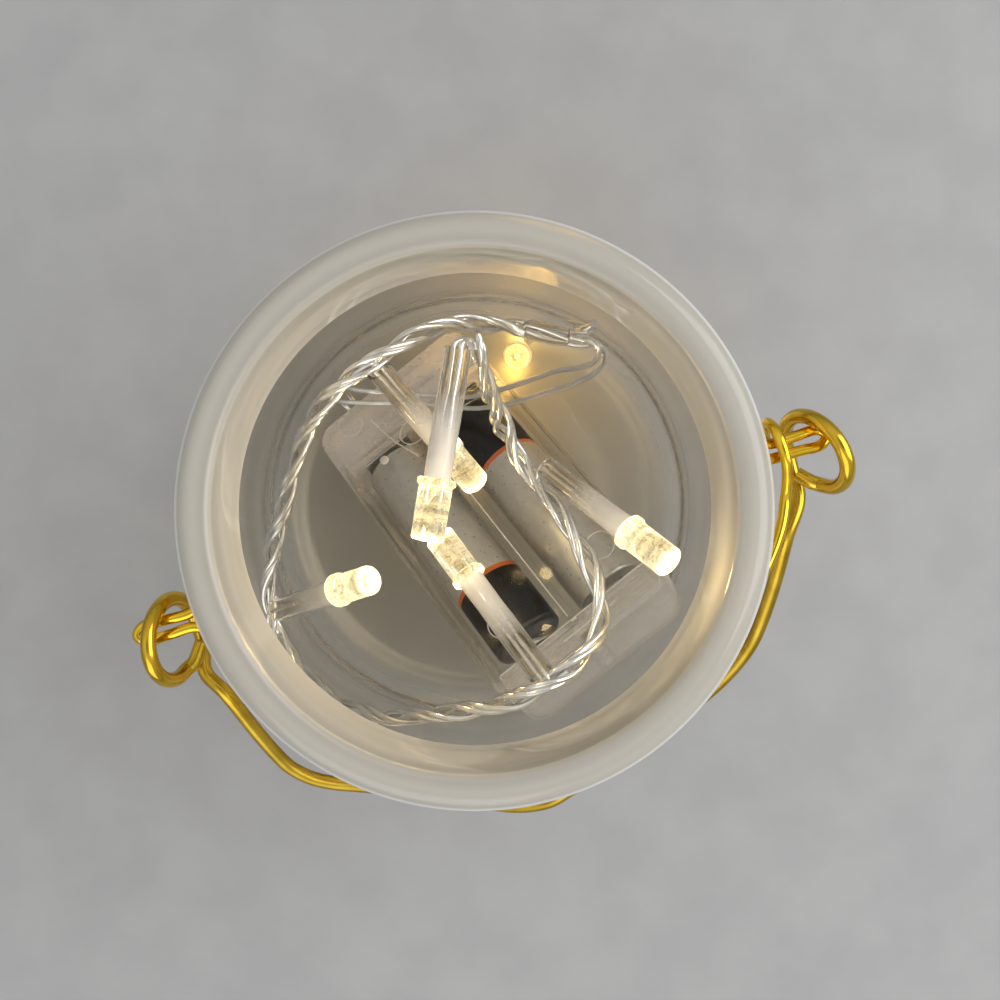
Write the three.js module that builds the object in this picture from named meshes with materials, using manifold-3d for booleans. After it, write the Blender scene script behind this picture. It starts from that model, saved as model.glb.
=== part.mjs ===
// A small jar light: a wide-mouthed glass jar with a wire bail, holding a clear battery box and a
// string of warm lamps on twisted wire. Millimetres, +Z up. The jar's axis is Z and it stands on z = 0.
// The ears of the neck ring lie along X, and the bail hangs in front, towards -Y.
import * as THREE from 'three';
import { mergeVertices } from 'three/addons/utils/BufferGeometryUtils.js';
import Module from 'manifold-3d';

const wasm = await Module();
wasm.setup();

// Space left between pieces that touch, turn or slide
const gap = 0.3;

// Glass jar
const jarHeight = 100;
const bodyRadius = 48;
const glassWall = 3;
const floorThickness = 5;
const baseRounding = 9;        // outside, between the base and the side
const floorRounding = 9;       // inside, between the floor and the side
const neckRadius = 41.3;       // outside of the neck, where the ring sits
const neckWall = 3.8;
const neckHeight = 18;         // from the shoulder to the top of the lip
const shoulderHeight = 8;
const shoulderGlass = 1.8;     // how far the shoulder's inside lies under its outside
const beadRadius = 43.5;       // widest part of the rolled lip
const beadHeight = 8.8;        // of the whole rolled lip
const beadCrown = 4.5;         // of its part above the widest place
const lipRadius = 40.4;        // outer edge of the flat top of the lip
const lipRounding = 1.2;       // inner edge of the lip
const jarSides = 48;

// Neck ring with its two ears
const ringWire = 1.7;
const earY = -4;               // the ears lie a little in front of the jar's axis
const earSpread = 2.3;         // between the two strands of an ear
const earPastLeft = 1.3;       // how far an ear reaches past the side of the bail
const earPastRight = 1.4;
const ringHook = 3.1;          // height of the closing hook over the right ear

// Bail
const bailWire = 2.4;
const bailHang = 30;           // degrees below level, where the bail rests on the jar
const bailClear = 10;          // least distance between the middles of the ring's wire and the bail's
const eyeRadius = 5.9;
const eyeOffset = 2.3;         // how far an eye is set towards the middle of the bail
const eyeLean = 0.42;          // outward lean of an eye for each millimetre of height
// How far each arm is set in from the side of the bail at its eye, how far it swings out below the eye,
// and how far outside the arm the end of the eye lies
const eyes = {
  left: { side: -1, armIn: 5.8, armOut: 1, tail: -0.7 },
  right: { side: 1, armIn: 3.1, armOut: -0.3, tail: 1.2 },
};
// The bail is bent by hand: how far it lies outside a circle, by degrees round it
const bailBends = [
  [-162, -4.7], [-153, -3.2], [-146, -1.3], [-141.5, 0], [-137, 0.4], [-133, 0], [-126, -1.2], [-119, -1.1],
  [-110, 0.2], [-103, 1.8], [-97, 3.6], [-92, 4], [-87, 2.4], [-79, 0.8], [-68, -0.3], [-59, -1.2],
  [-53, -1], [-47, -1], [-42, -1.4], [-37, -2.3], [-31, -3.2], [-25, -3.8], [-19, -4],
];

// Battery box: x along its length from the low end, y across it, z from the cover to the closed face
const cellRadius = 7.1;
const cellLength = 50.5;
const cellRoom = 1.3;          // between a cell and the sides of its bay
const cellLift = 0.4;          // between a cell and the cover, and between a cell and the closed face
const boxWall = 1.6;
const boxFace = 1.4;
const boxRib = 1.2;            // divider and partitions
const coverThickness = 1.4;
const lowChamber = 8.45;       // for the switch, the board and the leads
const highChamber = 3.75;      // for the screw
const boxRounding = 4.5;       // corners, seen from above
const boxYaw = -67.7;          // degrees, the way the box points
const boxTilt = 29.5;          // degrees, how steeply it leans
const boxShift = 1.2;          // sideways from the jar's axis
const endRoom = 1;             // least space between the low end and the wall

// Contacts and springs
const contactThickness = 0.4;
const contactWidth = 11;
const contactHeight = 11;
const tabWidth = 3;
const springRoom = 4;          // from a contact plate to the flat end of a cell
const springWire = 0.6;
const springTurns = 2.5;
const springWide = 4.9;        // at the contact plate
const springNarrow = 2.2;      // at the cell

// Switch, board, lead bush and cover screw
const switchY = 7;
const switchWidth = 11;
const switchHeight = 6;
const boardThickness = 1;
const boardWidth = 30;
const boardHeight = 9;
const sliderThickness = 0.8;
const sliderWidth = 5.5;
const knobWidth = 2.6;
const knobHeight = 2.4;
const knobReach = 1.4;         // how far it stands out of the box
const sliderTravel = 2.5;
const bushY = -9;
const bushRadius = 1.9;
const bushFlange = 2.9;
const bushReach = 0.8;
const screwRadius = 0.9;
const screwHead = 2.1;
const screwHeadHeight = 1.2;
const screwLength = 9;
const bossRadius = 1.85;

// Lamps
const ledRadius = 2.5;
const ledFlange = 2.85;
const flangeHeight = 1.2;
const ledLength = 9.2;
const ledHollow = 1.5;         // depth of the hollow in the tip
const legSize = 0.5;
const legSpread = 1.6;
const legLength = 11;
const sleeveRadius = 2.1;
const sleeveWall = 0.5;
const sleeveLength = 19;

// Wires
const cableDiameter = 2.1;     // over the twisted strands
const branchDiameter = 1.3;
const leadDiameter = 1;
const leadSpread = 1.9;
const spliceRadius = 1.8;
const spliceFrom = [22.9, 23.3, 69];
const spliceTo = [16.4, 26.4, 70.2];
// Where the leads and the branch enter the splice, sideways and up from its middle
const leadSeats = [[0.1, 1], [1, -0.2]];
const branchSeat = [-0.85, -0.5];

// Route of the string from the splice to its end, as stretches between one lamp and the next
const stringRoute = [
  [[10.7, 28.6, 73], [5.3, 30, 76], [0.2, 29.4, 79], [-4.5, 28, 81], [-8.9, 26.7, 82]],
  [[-13.7, 25.3, 81], [-18.5, 23.3, 78], [-22.9, 20.1, 74], [-27, 15.4, 70], [-31.4, 9.6, 66],
    [-35.8, 3.6, 61], [-39.2, -2.1, 57], [-40.8, -7.3, 55.5]],
  [[-40.6, -13.4, 55], [-37.8, -20, 57], [-33.4, -25.1, 62], [-28.3, -28.1, 67], [-22.4, -29.6, 72],
    [-16.1, -30, 77], [-10.1, -30.2, 81], [-4.6, -30, 85], [-0.5, -29.4, 87.5], [3.1, -28.4, 88.5]],
  [[7.7, -27.2, 87.5], [11.7, -24.9, 85], [14.3, -21.6, 82.5], [15, -17.4, 81], [14.7, -12.7, 80],
    [13.8, -8, 79], [12.5, -3.5, 77.5], [10.6, 1.3, 73.7]],
  [[9.5, 5.4, 72], [8.5, 9.4, 74], [7.8, 13, 79], [7.2, 16.3, 85], [7.1, 19.8, 90.2], [7, 22.2, 93.2],
    [6.8, 24.4, 94.3]],
];
// Route of the branch from the splice down to the lamp beside the box
const branchRoute = [[27.4, 23.8, 66.6], [29, 25.2, 62], [29.2, 26.4, 55], [28.5, 27.2, 46], [27.6, 28, 36],
  [25.4, 30, 24], [22, 31, 16], [19.4, 30, 12.5]];
// Routes of the two leads: first over the low end of the box, in the box's own axes, where the heights
// count from its closed face, then on to the splice
const leadsAtBox = [
  [[-6.9, -8.2, -7.6], [-8.6, -8.2, -4.1], [-6.4, -8.2, 0.9], [-1.4, -7.1, 4.3], [2.7, -4.2, 4.7],
    [7.2, 0.6, 3.5], [14.4, 6.6, 4.2], [20.6, 11, 6.4]],
  [[-6.9, -10.3, -7.6], [-8.3, -10.8, -3.8], [-5.8, -11.3, 0.5], [-1.1, -10.1, 2.9], [3.2, -6.3, 3],
    [8.7, -0.5, 2.7], [15.8, 5.6, 3.4], [22.7, 10.4, 5.2]],
];
const leadRoutes = [
  [[11.2, 20, 44], [17.2, 19.6, 51], [21, 19.2, 58], [24, 18.2, 63.6], [26.4, 18.2, 68],
    [27.2, 19.8, 70.6], [26.4, 21.4, 70.7]],
  [[11.8, 16.9, 44], [18.2, 16.6, 50.5], [23, 16.3, 56], [27.2, 17, 61], [28.8, 19, 65.4],
    [27.6, 20.8, 67.6]],
];
// The way each lamp points from the wire it hangs on, in the order of the string, then the branch
const lampAxes = {
  2: [0.342, -0.751, -0.565],
  3: [0.7, 0.05, 0.71],
  5: [-0.338, 0.853, -0.397],
  4: [0.442, -0.655, 0.613],
  1: [-0.432, -0.902, 0],
  6: [-0.08, -0.13, 0.988],
};
const stringLamps = [2, 3, 5, 4, 1];

// Sizes that follow from those above
const radians = THREE.MathUtils.degToRad;
const mouthRadius = neckRadius - neckWall;
const insideRadius = bodyRadius - glassWall;
const insideFlat = insideRadius * Math.cos(Math.PI / jarSides);
const ringRadius = neckRadius + gap + ringWire / 2;
const neckBottom = jarHeight - neckHeight;
const bodyTop = neckBottom - shoulderHeight;
const beadBottom = jarHeight - beadHeight;
const beadMiddle = jarHeight - beadCrown;
const ringZ = beadBottom - gap - ringWire / 2;
// The bail clears the ring at its sides, and hangs lower where that makes it wider than the jar asks for
const bailAtRest = bodyRadius + bailWire / 2 + gap + earY;
const bailReach = Math.max(bailAtRest / Math.cos(radians(bailHang)), ringRadius + bailClear);
const bailRest = Math.acos(bailAtRest / bailReach);
const earReachLeft = bailReach + earPastLeft;
const earReachRight = bailReach + earPastRight;

const bayLength = 2 * contactThickness + springRoom + cellLength + 3 * gap;
const bayWidth = 2 * (cellRadius + cellRoom);
const bayY = (bayWidth + boxRib) / 2;
const boxLength = 2 * boxWall + lowChamber + highChamber + 2 * boxRib + bayLength;
const boxWidth = 2 * boxWall + 2 * bayWidth + boxRib;
const trayBottom = coverThickness + gap;
const cellZ = coverThickness + cellLift + cellRadius;
const boxHeight = coverThickness + 2 * cellLift + 2 * cellRadius + boxFace;
const bayX = boxWall + lowChamber + boxRib;
const bayEnd = bayX + bayLength;
const tabZ = trayBottom + gap + contactThickness / 2;

// The board lies between the switch and the contact tabs
const sliderX = boxWall + gap;
const switchX = sliderX + sliderThickness + gap;
const boardX = bayX - boxRib - 1.6 - boardThickness;
const switchDepth = boardX - gap - switchX;

const glass = new THREE.MeshStandardMaterial({
  color: 0xc9cac2, roughness: 0.12, metalness: 0, transparent: true, opacity: 0.4,
});
const goldWire = new THREE.MeshStandardMaterial({ color: 0xb98f3e, roughness: 0.35, metalness: 0.9 });
const clearPlastic = new THREE.MeshStandardMaterial({
  color: 0xd9d6cd, roughness: 0.15, metalness: 0, transparent: true, opacity: 0.45,
});
const cellJacket = new THREE.MeshStandardMaterial({ color: 0x8d8a86, roughness: 0.35, metalness: 0.5 });
const sheetMetal = new THREE.MeshStandardMaterial({ color: 0xb9bbbd, roughness: 0.3, metalness: 0.9 });
const blackPlastic = new THREE.MeshStandardMaterial({ color: 0x1c1c1e, roughness: 0.5, metalness: 0 });
const boardPale = new THREE.MeshStandardMaterial({ color: 0xcfc7b4, roughness: 0.55, metalness: 0 });
const wireClear = new THREE.MeshStandardMaterial({ color: 0xd8cdb4, roughness: 0.3, metalness: 0 });
const lampWarm = new THREE.MeshStandardMaterial({
  color: 0xffe2a4, roughness: 0.2, metalness: 0, emissive: 0xffb84d, emissiveIntensity: 0.8,
});

const point = (p) => new THREE.Vector3(...p);

function arc(x, y, rx, ry, from, to, steps) {
  return Array.from({ length: steps + 1 }, (_, i) => {
    const a = radians(from + ((to - from) * i) / steps);
    return new THREE.Vector2(x + rx * Math.cos(a), y + ry * Math.sin(a));
  });
}

// A body turned about Z from a profile of radius and height
function turned(profile, sides) {
  const points = profile.map((p) => (Array.isArray(p) ? new THREE.Vector2(...p) : p));
  return new THREE.LatheGeometry(points, sides).rotateX(Math.PI / 2);
}

// A straight-sided block between two corners
function block(low, high) {
  const size = high.map((v, i) => v - low[i]);
  const middle = high.map((v, i) => (v + low[i]) / 2);
  return new THREE.BoxGeometry(...size).translate(...middle);
}

function cylinderX(radius, from, to, y, z, sides) {
  return new THREE.CylinderGeometry(radius, radius, to - from, sides)
    .rotateZ(Math.PI / 2).translate((from + to) / 2, y, z);
}

function cylinderZ(radius, x, y, from, to, sides) {
  return new THREE.CylinderGeometry(radius, radius, to - from, sides)
    .rotateX(Math.PI / 2).translate(x, y, (from + to) / 2);
}

// A plate with rounded corners, inset from the outline of the box
function boxPlate(inset, from, to) {
  const r = boxRounding - inset;
  const [x0, x1, y] = [inset, boxLength - inset, boxWidth / 2 - inset];
  const shape = new THREE.Shape([
    ...arc(x0 + r, -y + r, r, r, 180, 270, 4), ...arc(x1 - r, -y + r, r, r, 270, 360, 4),
    ...arc(x1 - r, y - r, r, r, 0, 90, 4), ...arc(x0 + r, y - r, r, r, 90, 180, 4),
  ]);
  return new THREE.ExtrudeGeometry(shape, { depth: to - from, bevelEnabled: false }).translate(0, 0, from);
}

function solid(geometry) {
  const bare = geometry.index ? geometry.clone() : geometry;
  ['normal', 'uv'].forEach((name) => bare.deleteAttribute(name));
  const merged = mergeVertices(bare, 1e-4);
  const index = merged.index.array;
  const kept = [];
  for (let i = 0; i < index.length; i += 3) {
    const [a, b, c] = [index[i], index[i + 1], index[i + 2]];
    if (a !== b && b !== c && c !== a) kept.push(a, b, c);
  }
  const vertProperties = new Float32Array(merged.attributes.position.array);
  return new wasm.Manifold(new wasm.Mesh({ numProp: 3, vertProperties, triVerts: new Uint32Array(kept) }));
}

function surface(body) {
  const { vertProperties, triVerts } = body.getMesh();
  const geometry = new THREE.BufferGeometry();
  geometry.setAttribute('position', new THREE.BufferAttribute(new Float32Array(vertProperties), 3));
  geometry.setIndex(new THREE.BufferAttribute(new Uint32Array(triVerts), 1));
  return geometry;
}

const join = (first, ...others) => surface(others.reduce((body, g) => body.add(solid(g)), solid(first)));
const cut = (first, ...tools) => surface(tools.reduce((body, g) => body.subtract(solid(g)), solid(first)));

// A smooth path whose spans between points all get the same number of steps
class SpanPath extends THREE.CatmullRomCurve3 {
  getPointAt(t, target) { return this.getPoint(t, target); }
  getTangentAt(t, target) { return this.getTangent(t, target); }
  getSpacedPoints(count) { return this.getPoints(count); }
}

// A stretch of a longer path, from one place on it to another
class Stretch extends THREE.Curve {
  constructor(path, from, to) {
    super();
    Object.assign(this, { path, from, to });
  }
  getPoint(t, target) { return this.path.getPoint(this.from + (this.to - this.from) * t, target); }
}

function tube(path, diameter, sides, steps) {
  const section = new THREE.Shape(arc(0, 0, diameter / 2, diameter / 2, 0, 360 - 360 / sides, sides - 1));
  return new THREE.ExtrudeGeometry(section, { steps, extrudePath: path, bevelEnabled: false });
}

function bentWire(points, diameter, sides, stepsPerSpan) {
  const path = new SpanPath(points.map(point));
  return tube(path, diameter, sides, stepsPerSpan * (points.length - 1));
}

function add(parent, name, geometry, material) {
  const mesh = new THREE.Mesh(geometry, material);
  mesh.name = name;
  parent.add(mesh);
  return mesh;
}

const jarLight = new THREE.Group();
jarLight.name = 'jar_light';

// Jar: up the outside from the middle of the base, over the lip and down the inside to the floor
const insideTop = bodyTop - shoulderGlass;
const neckInsideBottom = neckBottom - shoulderGlass;
add(jarLight, 'jar', turned([
  [0, 0],
  ...arc(bodyRadius - baseRounding, baseRounding, baseRounding, baseRounding, -90, 0, 5),
  ...arc(neckRadius, bodyTop, bodyRadius - neckRadius, neckBottom - bodyTop, 0, 90, 5),
  ...arc(neckRadius, beadMiddle, beadRadius - neckRadius, beadMiddle - beadBottom, -90, 0, 3),
  ...arc(lipRadius, beadMiddle, beadRadius - lipRadius, jarHeight - beadMiddle, 0, 90, 4).slice(1),
  ...arc(mouthRadius + lipRounding, jarHeight - lipRounding, lipRounding, lipRounding, 90, 180, 3),
  ...arc(mouthRadius, insideTop, insideRadius - mouthRadius, neckInsideBottom - insideTop, 90, 0, 5),
  ...arc(insideRadius - floorRounding, floorThickness + floorRounding, floorRounding, floorRounding,
    0, -90, 5),
  [0, floorThickness],
], jarSides), glass);

// Neck ring: one wire, from the right ear round the back, through the left ear and round the front,
// to a hook that closes over the right ear
function ringArc(from, to, steps) {
  return arc(0, 0, ringRadius, ringRadius, from, to, steps).map((p) => [p.x, p.y, ringZ]);
}
const half = earSpread / 2;
const earRoot = ringRadius + 2.7;
const earBend = ringRadius + 0.7;
const earMiddle = (earRoot + earReachRight) / 2;
const hookX = ringRadius + 3.8;
add(jarLight, 'neck_ring', bentWire([
  [earRoot - 0.4, earY - half, ringZ], [earMiddle, earY - half, ringZ],
  [earReachRight - half, earY - half, ringZ], [earReachRight, earY, ringZ],
  [earReachRight - half, earY + half, ringZ], [earMiddle, earY + half, ringZ],
  [earRoot, earY + half, ringZ], [earBend, earY + half + 1.3, ringZ],
  ...ringArc(4, 176, 14),
  [-earBend, earY + half + 1.3, ringZ], [-earRoot, earY + half, ringZ],
  [-earMiddle, earY + half, ringZ], [half - earReachLeft, earY + half, ringZ],
  [-earReachLeft, earY, ringZ],
  [half - earReachLeft, earY - half, ringZ], [-earMiddle, earY - half, ringZ],
  [-earRoot, earY - half, ringZ], [-earBend, earY - half - 1.3, ringZ],
  ...ringArc(194, 316, 10),
  [hookX - 7, earY - 17, ringZ], [hookX - 2.9, earY - 11.5, ringZ], [hookX - 0.9, earY - 7, ringZ + 0.3],
  [hookX - 0.2, earY - 4.4, ringZ + 1.5], [hookX, earY - 2.2, ringZ + 2.7], [hookX, earY, ringZ + ringHook],
  [hookX - 0.1, earY + 2.8, ringZ + 2.2], [hookX - 0.3, earY + 4.2, ringZ - 0.4],
  [hookX - 0.5, earY + 2.9, ringZ - 2.9], [hookX - 0.7, earY + 0.5, ringZ - ringHook - 0.7],
], ringWire, 8, 2), goldWire);

// Bail: drawn flat, with its middle towards -Y, then turned down until it rests on the jar
function bailEnd({ side, armIn, armOut, tail }) {
  const x = bailReach - armIn;
  const loop = Array.from({ length: 10 }, (_, i) => {
    const a = radians(-90 - 30 * i);
    const z = eyeRadius * Math.sin(a);
    return [x + eyeLean * (z + eyeRadius), eyeRadius * Math.cos(a), z];
  });
  return [
    [x + armOut, 9, -0.4 * eyeRadius], [x, 4.8, -0.82 * eyeRadius], ...loop,
    [x + (eyeLean * eyeRadius + tail) / 2 + 0.4, 0.93 * eyeRadius, -0.1 * eyeRadius],
    [x + tail, 0.55 * eyeRadius, -0.05 * eyeRadius],
  ].map(([out, front, up]) => [side * out, -eyeOffset - front, up]);
}
const bailMount = new THREE.Group();
bailMount.position.set(0, earY, ringZ);
bailMount.rotation.x = bailRest;
jarLight.add(bailMount);
const bailArch = bailBends.map(([angle, out]) => [
  (bailReach + out) * Math.cos(radians(angle)), (bailReach + out) * Math.sin(radians(angle)), 0]);
add(bailMount, 'bail', bentWire([
  ...bailEnd(eyes.left).reverse(), ...bailArch, ...bailEnd(eyes.right),
], bailWire, 8, 2), goldWire);

// Battery box: it leans with the low end on the floor and the high end on the wall, and more steeply
// where the jar is too narrow for its chosen lean
const cornerReach = Math.sqrt((insideFlat - gap - boxRounding) ** 2
  - (boxShift + boxWidth / 2 - boxRounding) ** 2) + boxRounding;
const boxDiagonal = Math.hypot(boxLength, boxHeight);
const steepEnough = Math.atan2(boxHeight, boxLength)
  + Math.acos(Math.min(1, (2 * cornerReach - endRoom) / boxDiagonal));
const lean = Math.max(radians(boxTilt), steepEnough);
const lowEnd = cornerReach - boxRounding - (boxLength - boxRounding) * Math.cos(lean);
const yaw = radians(boxYaw);
const box = new THREE.Group();
box.rotation.set(0, -lean, yaw, 'ZYX');
box.position.set(
  lowEnd * Math.cos(yaw) - boxShift * Math.sin(yaw),
  lowEnd * Math.sin(yaw) + boxShift * Math.cos(yaw),
  floorThickness + gap,
);
jarLight.add(box);

// Tray: open towards the cover, with a chamber at each end and two bays side by side
const hollowTop = boxHeight - boxFace;
const hollow = solid(boxPlate(boxWall, trayBottom - 1, hollowTop));
const pocket = (x0, x1, y0, y1) => surface(hollow.intersect(
  solid(block([x0, y0, 0], [x1, y1, boxHeight]))));
const wide = boxWidth;
const screwX = bayEnd + boxRib + highChamber / 2;
const knobLow = switchY - knobWidth / 2 - gap;
const knobHigh = switchY + knobWidth / 2 + sliderTravel + gap;
const tabSlot = (y) => block([bayX - boxRib - 1, y - tabWidth / 2 - gap, trayBottom - 1],
  [bayX + 1, y + tabWidth / 2 + gap, tabZ + contactThickness / 2 + gap]);
const emptyTray = cut(boxPlate(0, trayBottom, boxHeight),
  pocket(boxWall, boxWall + lowChamber, -wide, wide),
  pocket(bayX, bayEnd, -wide, -boxRib / 2),
  pocket(bayX, bayEnd, boxRib / 2, wide),
  pocket(bayEnd + boxRib, boxLength, -wide, wide),
  block([-1, knobLow, cellZ - knobHeight / 2 - gap], [boxWall + 1, knobHigh, cellZ + knobHeight / 2 + gap]),
  cylinderX(bushRadius + gap, -1, boxWall + 1, bushY, cellZ, 16),
  block([bayEnd - contactThickness - 2 * gap, -boxRib, trayBottom - 1],
    [bayEnd, boxRib, cellZ + contactHeight / 2 + gap]),
  tabSlot(bayY), tabSlot(-bayY));
add(box, 'box_tray', cut(
  join(emptyTray, cylinderZ(bossRadius, screwX, 0, trayBottom, boxHeight - boxFace / 2, 16)),
  cylinderZ(screwRadius + gap, screwX, 0, trayBottom - 1, screwLength + gap, 16)), clearPlastic);
add(box, 'box_cover', cut(boxPlate(0, 0, coverThickness),
  cylinderZ(screwRadius + gap, screwX, 0, -1, trayBottom, 16)), clearPlastic);
add(box, 'cover_screw', turned([
  [0, -gap - screwHeadHeight], [screwHead * 0.8, -gap - screwHeadHeight],
  [screwHead, -gap - screwHeadHeight * 0.6], [screwHead, -gap], [screwRadius, -gap],
  [screwRadius, screwLength - 0.8], [0, screwLength],
], 16), sheetMetal).position.set(screwX, 0, 0);

// Cells: flat end at the start of the profile, cap at its end; the second one lies the other way round
const cellBody = turned([
  [0, 0], [cellRadius - 0.7, 0], [cellRadius, 0.6], [cellRadius, cellLength - 1.9],
  [cellRadius - 0.6, cellLength - 1.3], [2.75, cellLength - 1.3], [2.75, cellLength], [0, cellLength],
], 24).rotateY(Math.PI / 2);
const cellStart = bayX + contactThickness + springRoom + gap;
add(box, 'cell_1', cellBody, cellJacket).position.set(cellStart, bayY, cellZ);
const turnedCell = add(box, 'cell_2', cellBody.clone(), cellJacket);
turnedCell.position.set(bayX + bayLength - (cellStart - bayX), -bayY, cellZ);
turnedCell.rotation.z = Math.PI;

// Contacts: a plate at the end of each bay, two of them with a tab into the low chamber
function contact(y) {
  const x = bayX + gap;
  const plate = block([x, y - contactWidth / 2, tabZ - contactThickness / 2],
    [x + contactThickness, y + contactWidth / 2, cellZ + contactHeight / 2]);
  const tab = block([boardX + boardThickness + gap, y - tabWidth / 2, tabZ - contactThickness / 2],
    [x + contactThickness / 2, y + tabWidth / 2, tabZ + contactThickness / 2]);
  return join(plate, tab);
}
add(box, 'negative_contact', contact(bayY), sheetMetal);
add(box, 'positive_contact', contact(-bayY), sheetMetal);
add(box, 'series_link', block(
  [bayEnd - gap - contactThickness, -bayY - contactWidth / 2, cellZ - contactHeight / 2],
  [bayEnd - gap, bayY + contactWidth / 2, cellZ + contactHeight / 2]), sheetMetal);

// Springs: cones from a contact plate to the flat end of a cell, both ends straight
function springPoints() {
  const steps = springTurns * 8;
  const length = springRoom - 2 * gap;
  const straight = 1.2 * springWire;
  const curls = Array.from({ length: steps + 1 }, (_, i) => {
    const r = springWide + ((springNarrow - springWide) * i) / steps;
    const a = (i / 8) * 2 * Math.PI;
    return [straight + ((length - 2 * straight) * i) / steps, r * Math.cos(a), r * Math.sin(a)];
  });
  const [first, last] = [curls[0], curls[steps]];
  return [[0, first[1], first[2]], ...curls, [length, last[1], last[2]]];
}
// Least gap between parts of a wire that are more than a few diameters apart along it
function leastGap(points, diameter) {
  const samples = new SpanPath(points.map(point)).getPoints(points.length * 6);
  const along = [0];
  samples.slice(1).forEach((p, i) => along.push(along[i] + p.distanceTo(samples[i])));
  let least = Infinity;
  samples.forEach((p, i) => samples.forEach((q, j) => {
    if (along[j] - along[i] > 4 * diameter) least = Math.min(least, p.distanceTo(q) - diameter);
  }));
  return least;
}
const springCentre = springPoints();
console.log(`least gap of a spring to itself: ${leastGap(springCentre, springWire).toFixed(2)} mm`);
add(box, 'spring_1', bentWire(springCentre, springWire, 5, 1), sheetMetal)
  .position.set(bayX + contactThickness + 2 * gap, bayY, cellZ);
const turnedSpring = add(box, 'spring_2', bentWire(springCentre, springWire, 5, 1), sheetMetal);
turnedSpring.position.set(bayEnd - contactThickness - 2 * gap, -bayY, cellZ);
turnedSpring.rotation.z = Math.PI;

// Switch with its slider, the board behind it, and the bush that the leads leave by
add(box, 'switch_body', block(
  [switchX, switchY - switchWidth / 2, cellZ - switchHeight / 2],
  [switchX + switchDepth, switchY + switchWidth / 2, cellZ + switchHeight / 2]), sheetMetal);
const sliderOutline = new THREE.Shape([
  [sliderX + sliderThickness, -sliderWidth / 2], [sliderX + sliderThickness, sliderWidth / 2],
  [sliderX, sliderWidth / 2], [sliderX, knobWidth / 2], [-knobReach, knobWidth / 2],
  [-knobReach, -knobWidth / 2], [sliderX, -knobWidth / 2], [sliderX, -sliderWidth / 2],
].map((p) => new THREE.Vector2(...p)));
const sliderShape = new THREE.ExtrudeGeometry(sliderOutline, { depth: knobHeight, bevelEnabled: false });
add(box, 'switch_slider', sliderShape, blackPlastic).position.set(0, switchY, cellZ - knobHeight / 2);
const boardZ = trayBottom + gap;
add(box, 'control_board', block([boardX, -boardWidth / 2, boardZ],
  [boardX + boardThickness, boardWidth / 2, boardZ + boardHeight]), boardPale);
add(box, 'lead_bush', turned([
  [0, -bushReach], [bushRadius, -bushReach], [bushRadius, sliderX], [bushFlange, sliderX],
  [bushFlange, sliderX + 1], [0, sliderX + 1],
], 16).rotateY(Math.PI / 2), clearPlastic).position.set(0, bushY, cellZ);

// Splice: a short sleeve with the leads and the branch at one end and the string at the other
const spliceStart = point(spliceFrom);
const spliceEnd = point(spliceTo);
const spliceAxis = spliceEnd.clone().sub(spliceStart).normalize();
const spliceSide = new THREE.Vector3(0, 0, 1).cross(spliceAxis).normalize();
const splice = new THREE.Group();
splice.position.copy(spliceStart);
splice.quaternion.setFromUnitVectors(new THREE.Vector3(0, 0, 1), spliceAxis);
jarLight.add(splice);
add(splice, 'splice_sleeve',
  cylinderZ(spliceRadius, 0, 0, 0, spliceStart.distanceTo(spliceEnd), 12), clearPlastic);
const atSplice = (side, up) => spliceStart.clone().addScaledVector(spliceAxis, -gap)
  .addScaledVector(spliceSide, side).add(new THREE.Vector3(0, 0, up)).toArray();
const beforeSplice = (side, up, far) => point(atSplice(side, up)).addScaledVector(spliceAxis, -far).toArray();

// Leads
box.updateMatrixWorld(true);
leadRoutes.forEach((route, i) => {
  const side = i ? -leadSpread / 2 : leadSpread / 2;
  const inBox = [
    [-bushReach - gap, bushY + side, cellZ], [-bushReach - 2.6, bushY + side, cellZ],
    ...leadsAtBox[i].map(([x, y, z]) => [x, y, boxHeight + z]),
  ].map((p) => box.localToWorld(point(p)));
  const toSplice = [...route, beforeSplice(...leadSeats[i], 2), atSplice(...leadSeats[i])].map(point);
  const path = new THREE.CatmullRomCurve3([...inBox, ...toSplice]);
  const steps = Math.round(path.getLength() / (2.5 * leadDiameter));
  add(jarLight, `lead_wire_${i + 1}`, tube(path, leadDiameter, 8, steps), wireClear);
});

// A lamp: sleeve and lamp body along its axis, standing off the wire it hangs on
const ledBody = turned([
  [0, 0], [ledFlange, 0], [ledFlange, flangeHeight], [ledRadius, flangeHeight],
  [ledRadius, ledLength - 0.5], [ledRadius - 0.4, ledLength], [ledRadius - 0.8, ledLength],
  [0, ledLength - ledHollow],
], 12);
const leg = (x) => block([x - legSize / 2, -legSize / 2, -legLength], [x + legSize / 2, legSize / 2, 0.4]);
const ledShape = join(ledBody, leg(legSpread / 2), leg(-legSpread / 2));
const sleeveShape = turned([
  [0, 0], [sleeveRadius, 0], [sleeveRadius, sleeveLength], [sleeveRadius - sleeveWall, sleeveLength],
  [sleeveRadius - sleeveWall, 1.5], [0, 1.5],
], 12);
function hangLamp(number, wirePoint, wireAlong, wireDiameter) {
  const axis = point(lampAxes[number]).normalize();
  const along = axis.dot(wireAlong);
  const off = axis.clone().addScaledVector(wireAlong, -along).normalize();
  const lamp = new THREE.Group();
  lamp.position.copy(wirePoint).addScaledVector(off, wireDiameter / 2 + gap + sleeveRadius * Math.abs(along));
  lamp.quaternion.setFromUnitVectors(new THREE.Vector3(0, 0, 1), axis);
  jarLight.add(lamp);
  add(lamp, `sleeve_${number}`, sleeveShape.clone(), clearPlastic);
  add(lamp, `led_${number}`, ledShape.clone(), lampWarm).position.z = sleeveLength + gap;
}

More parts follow.
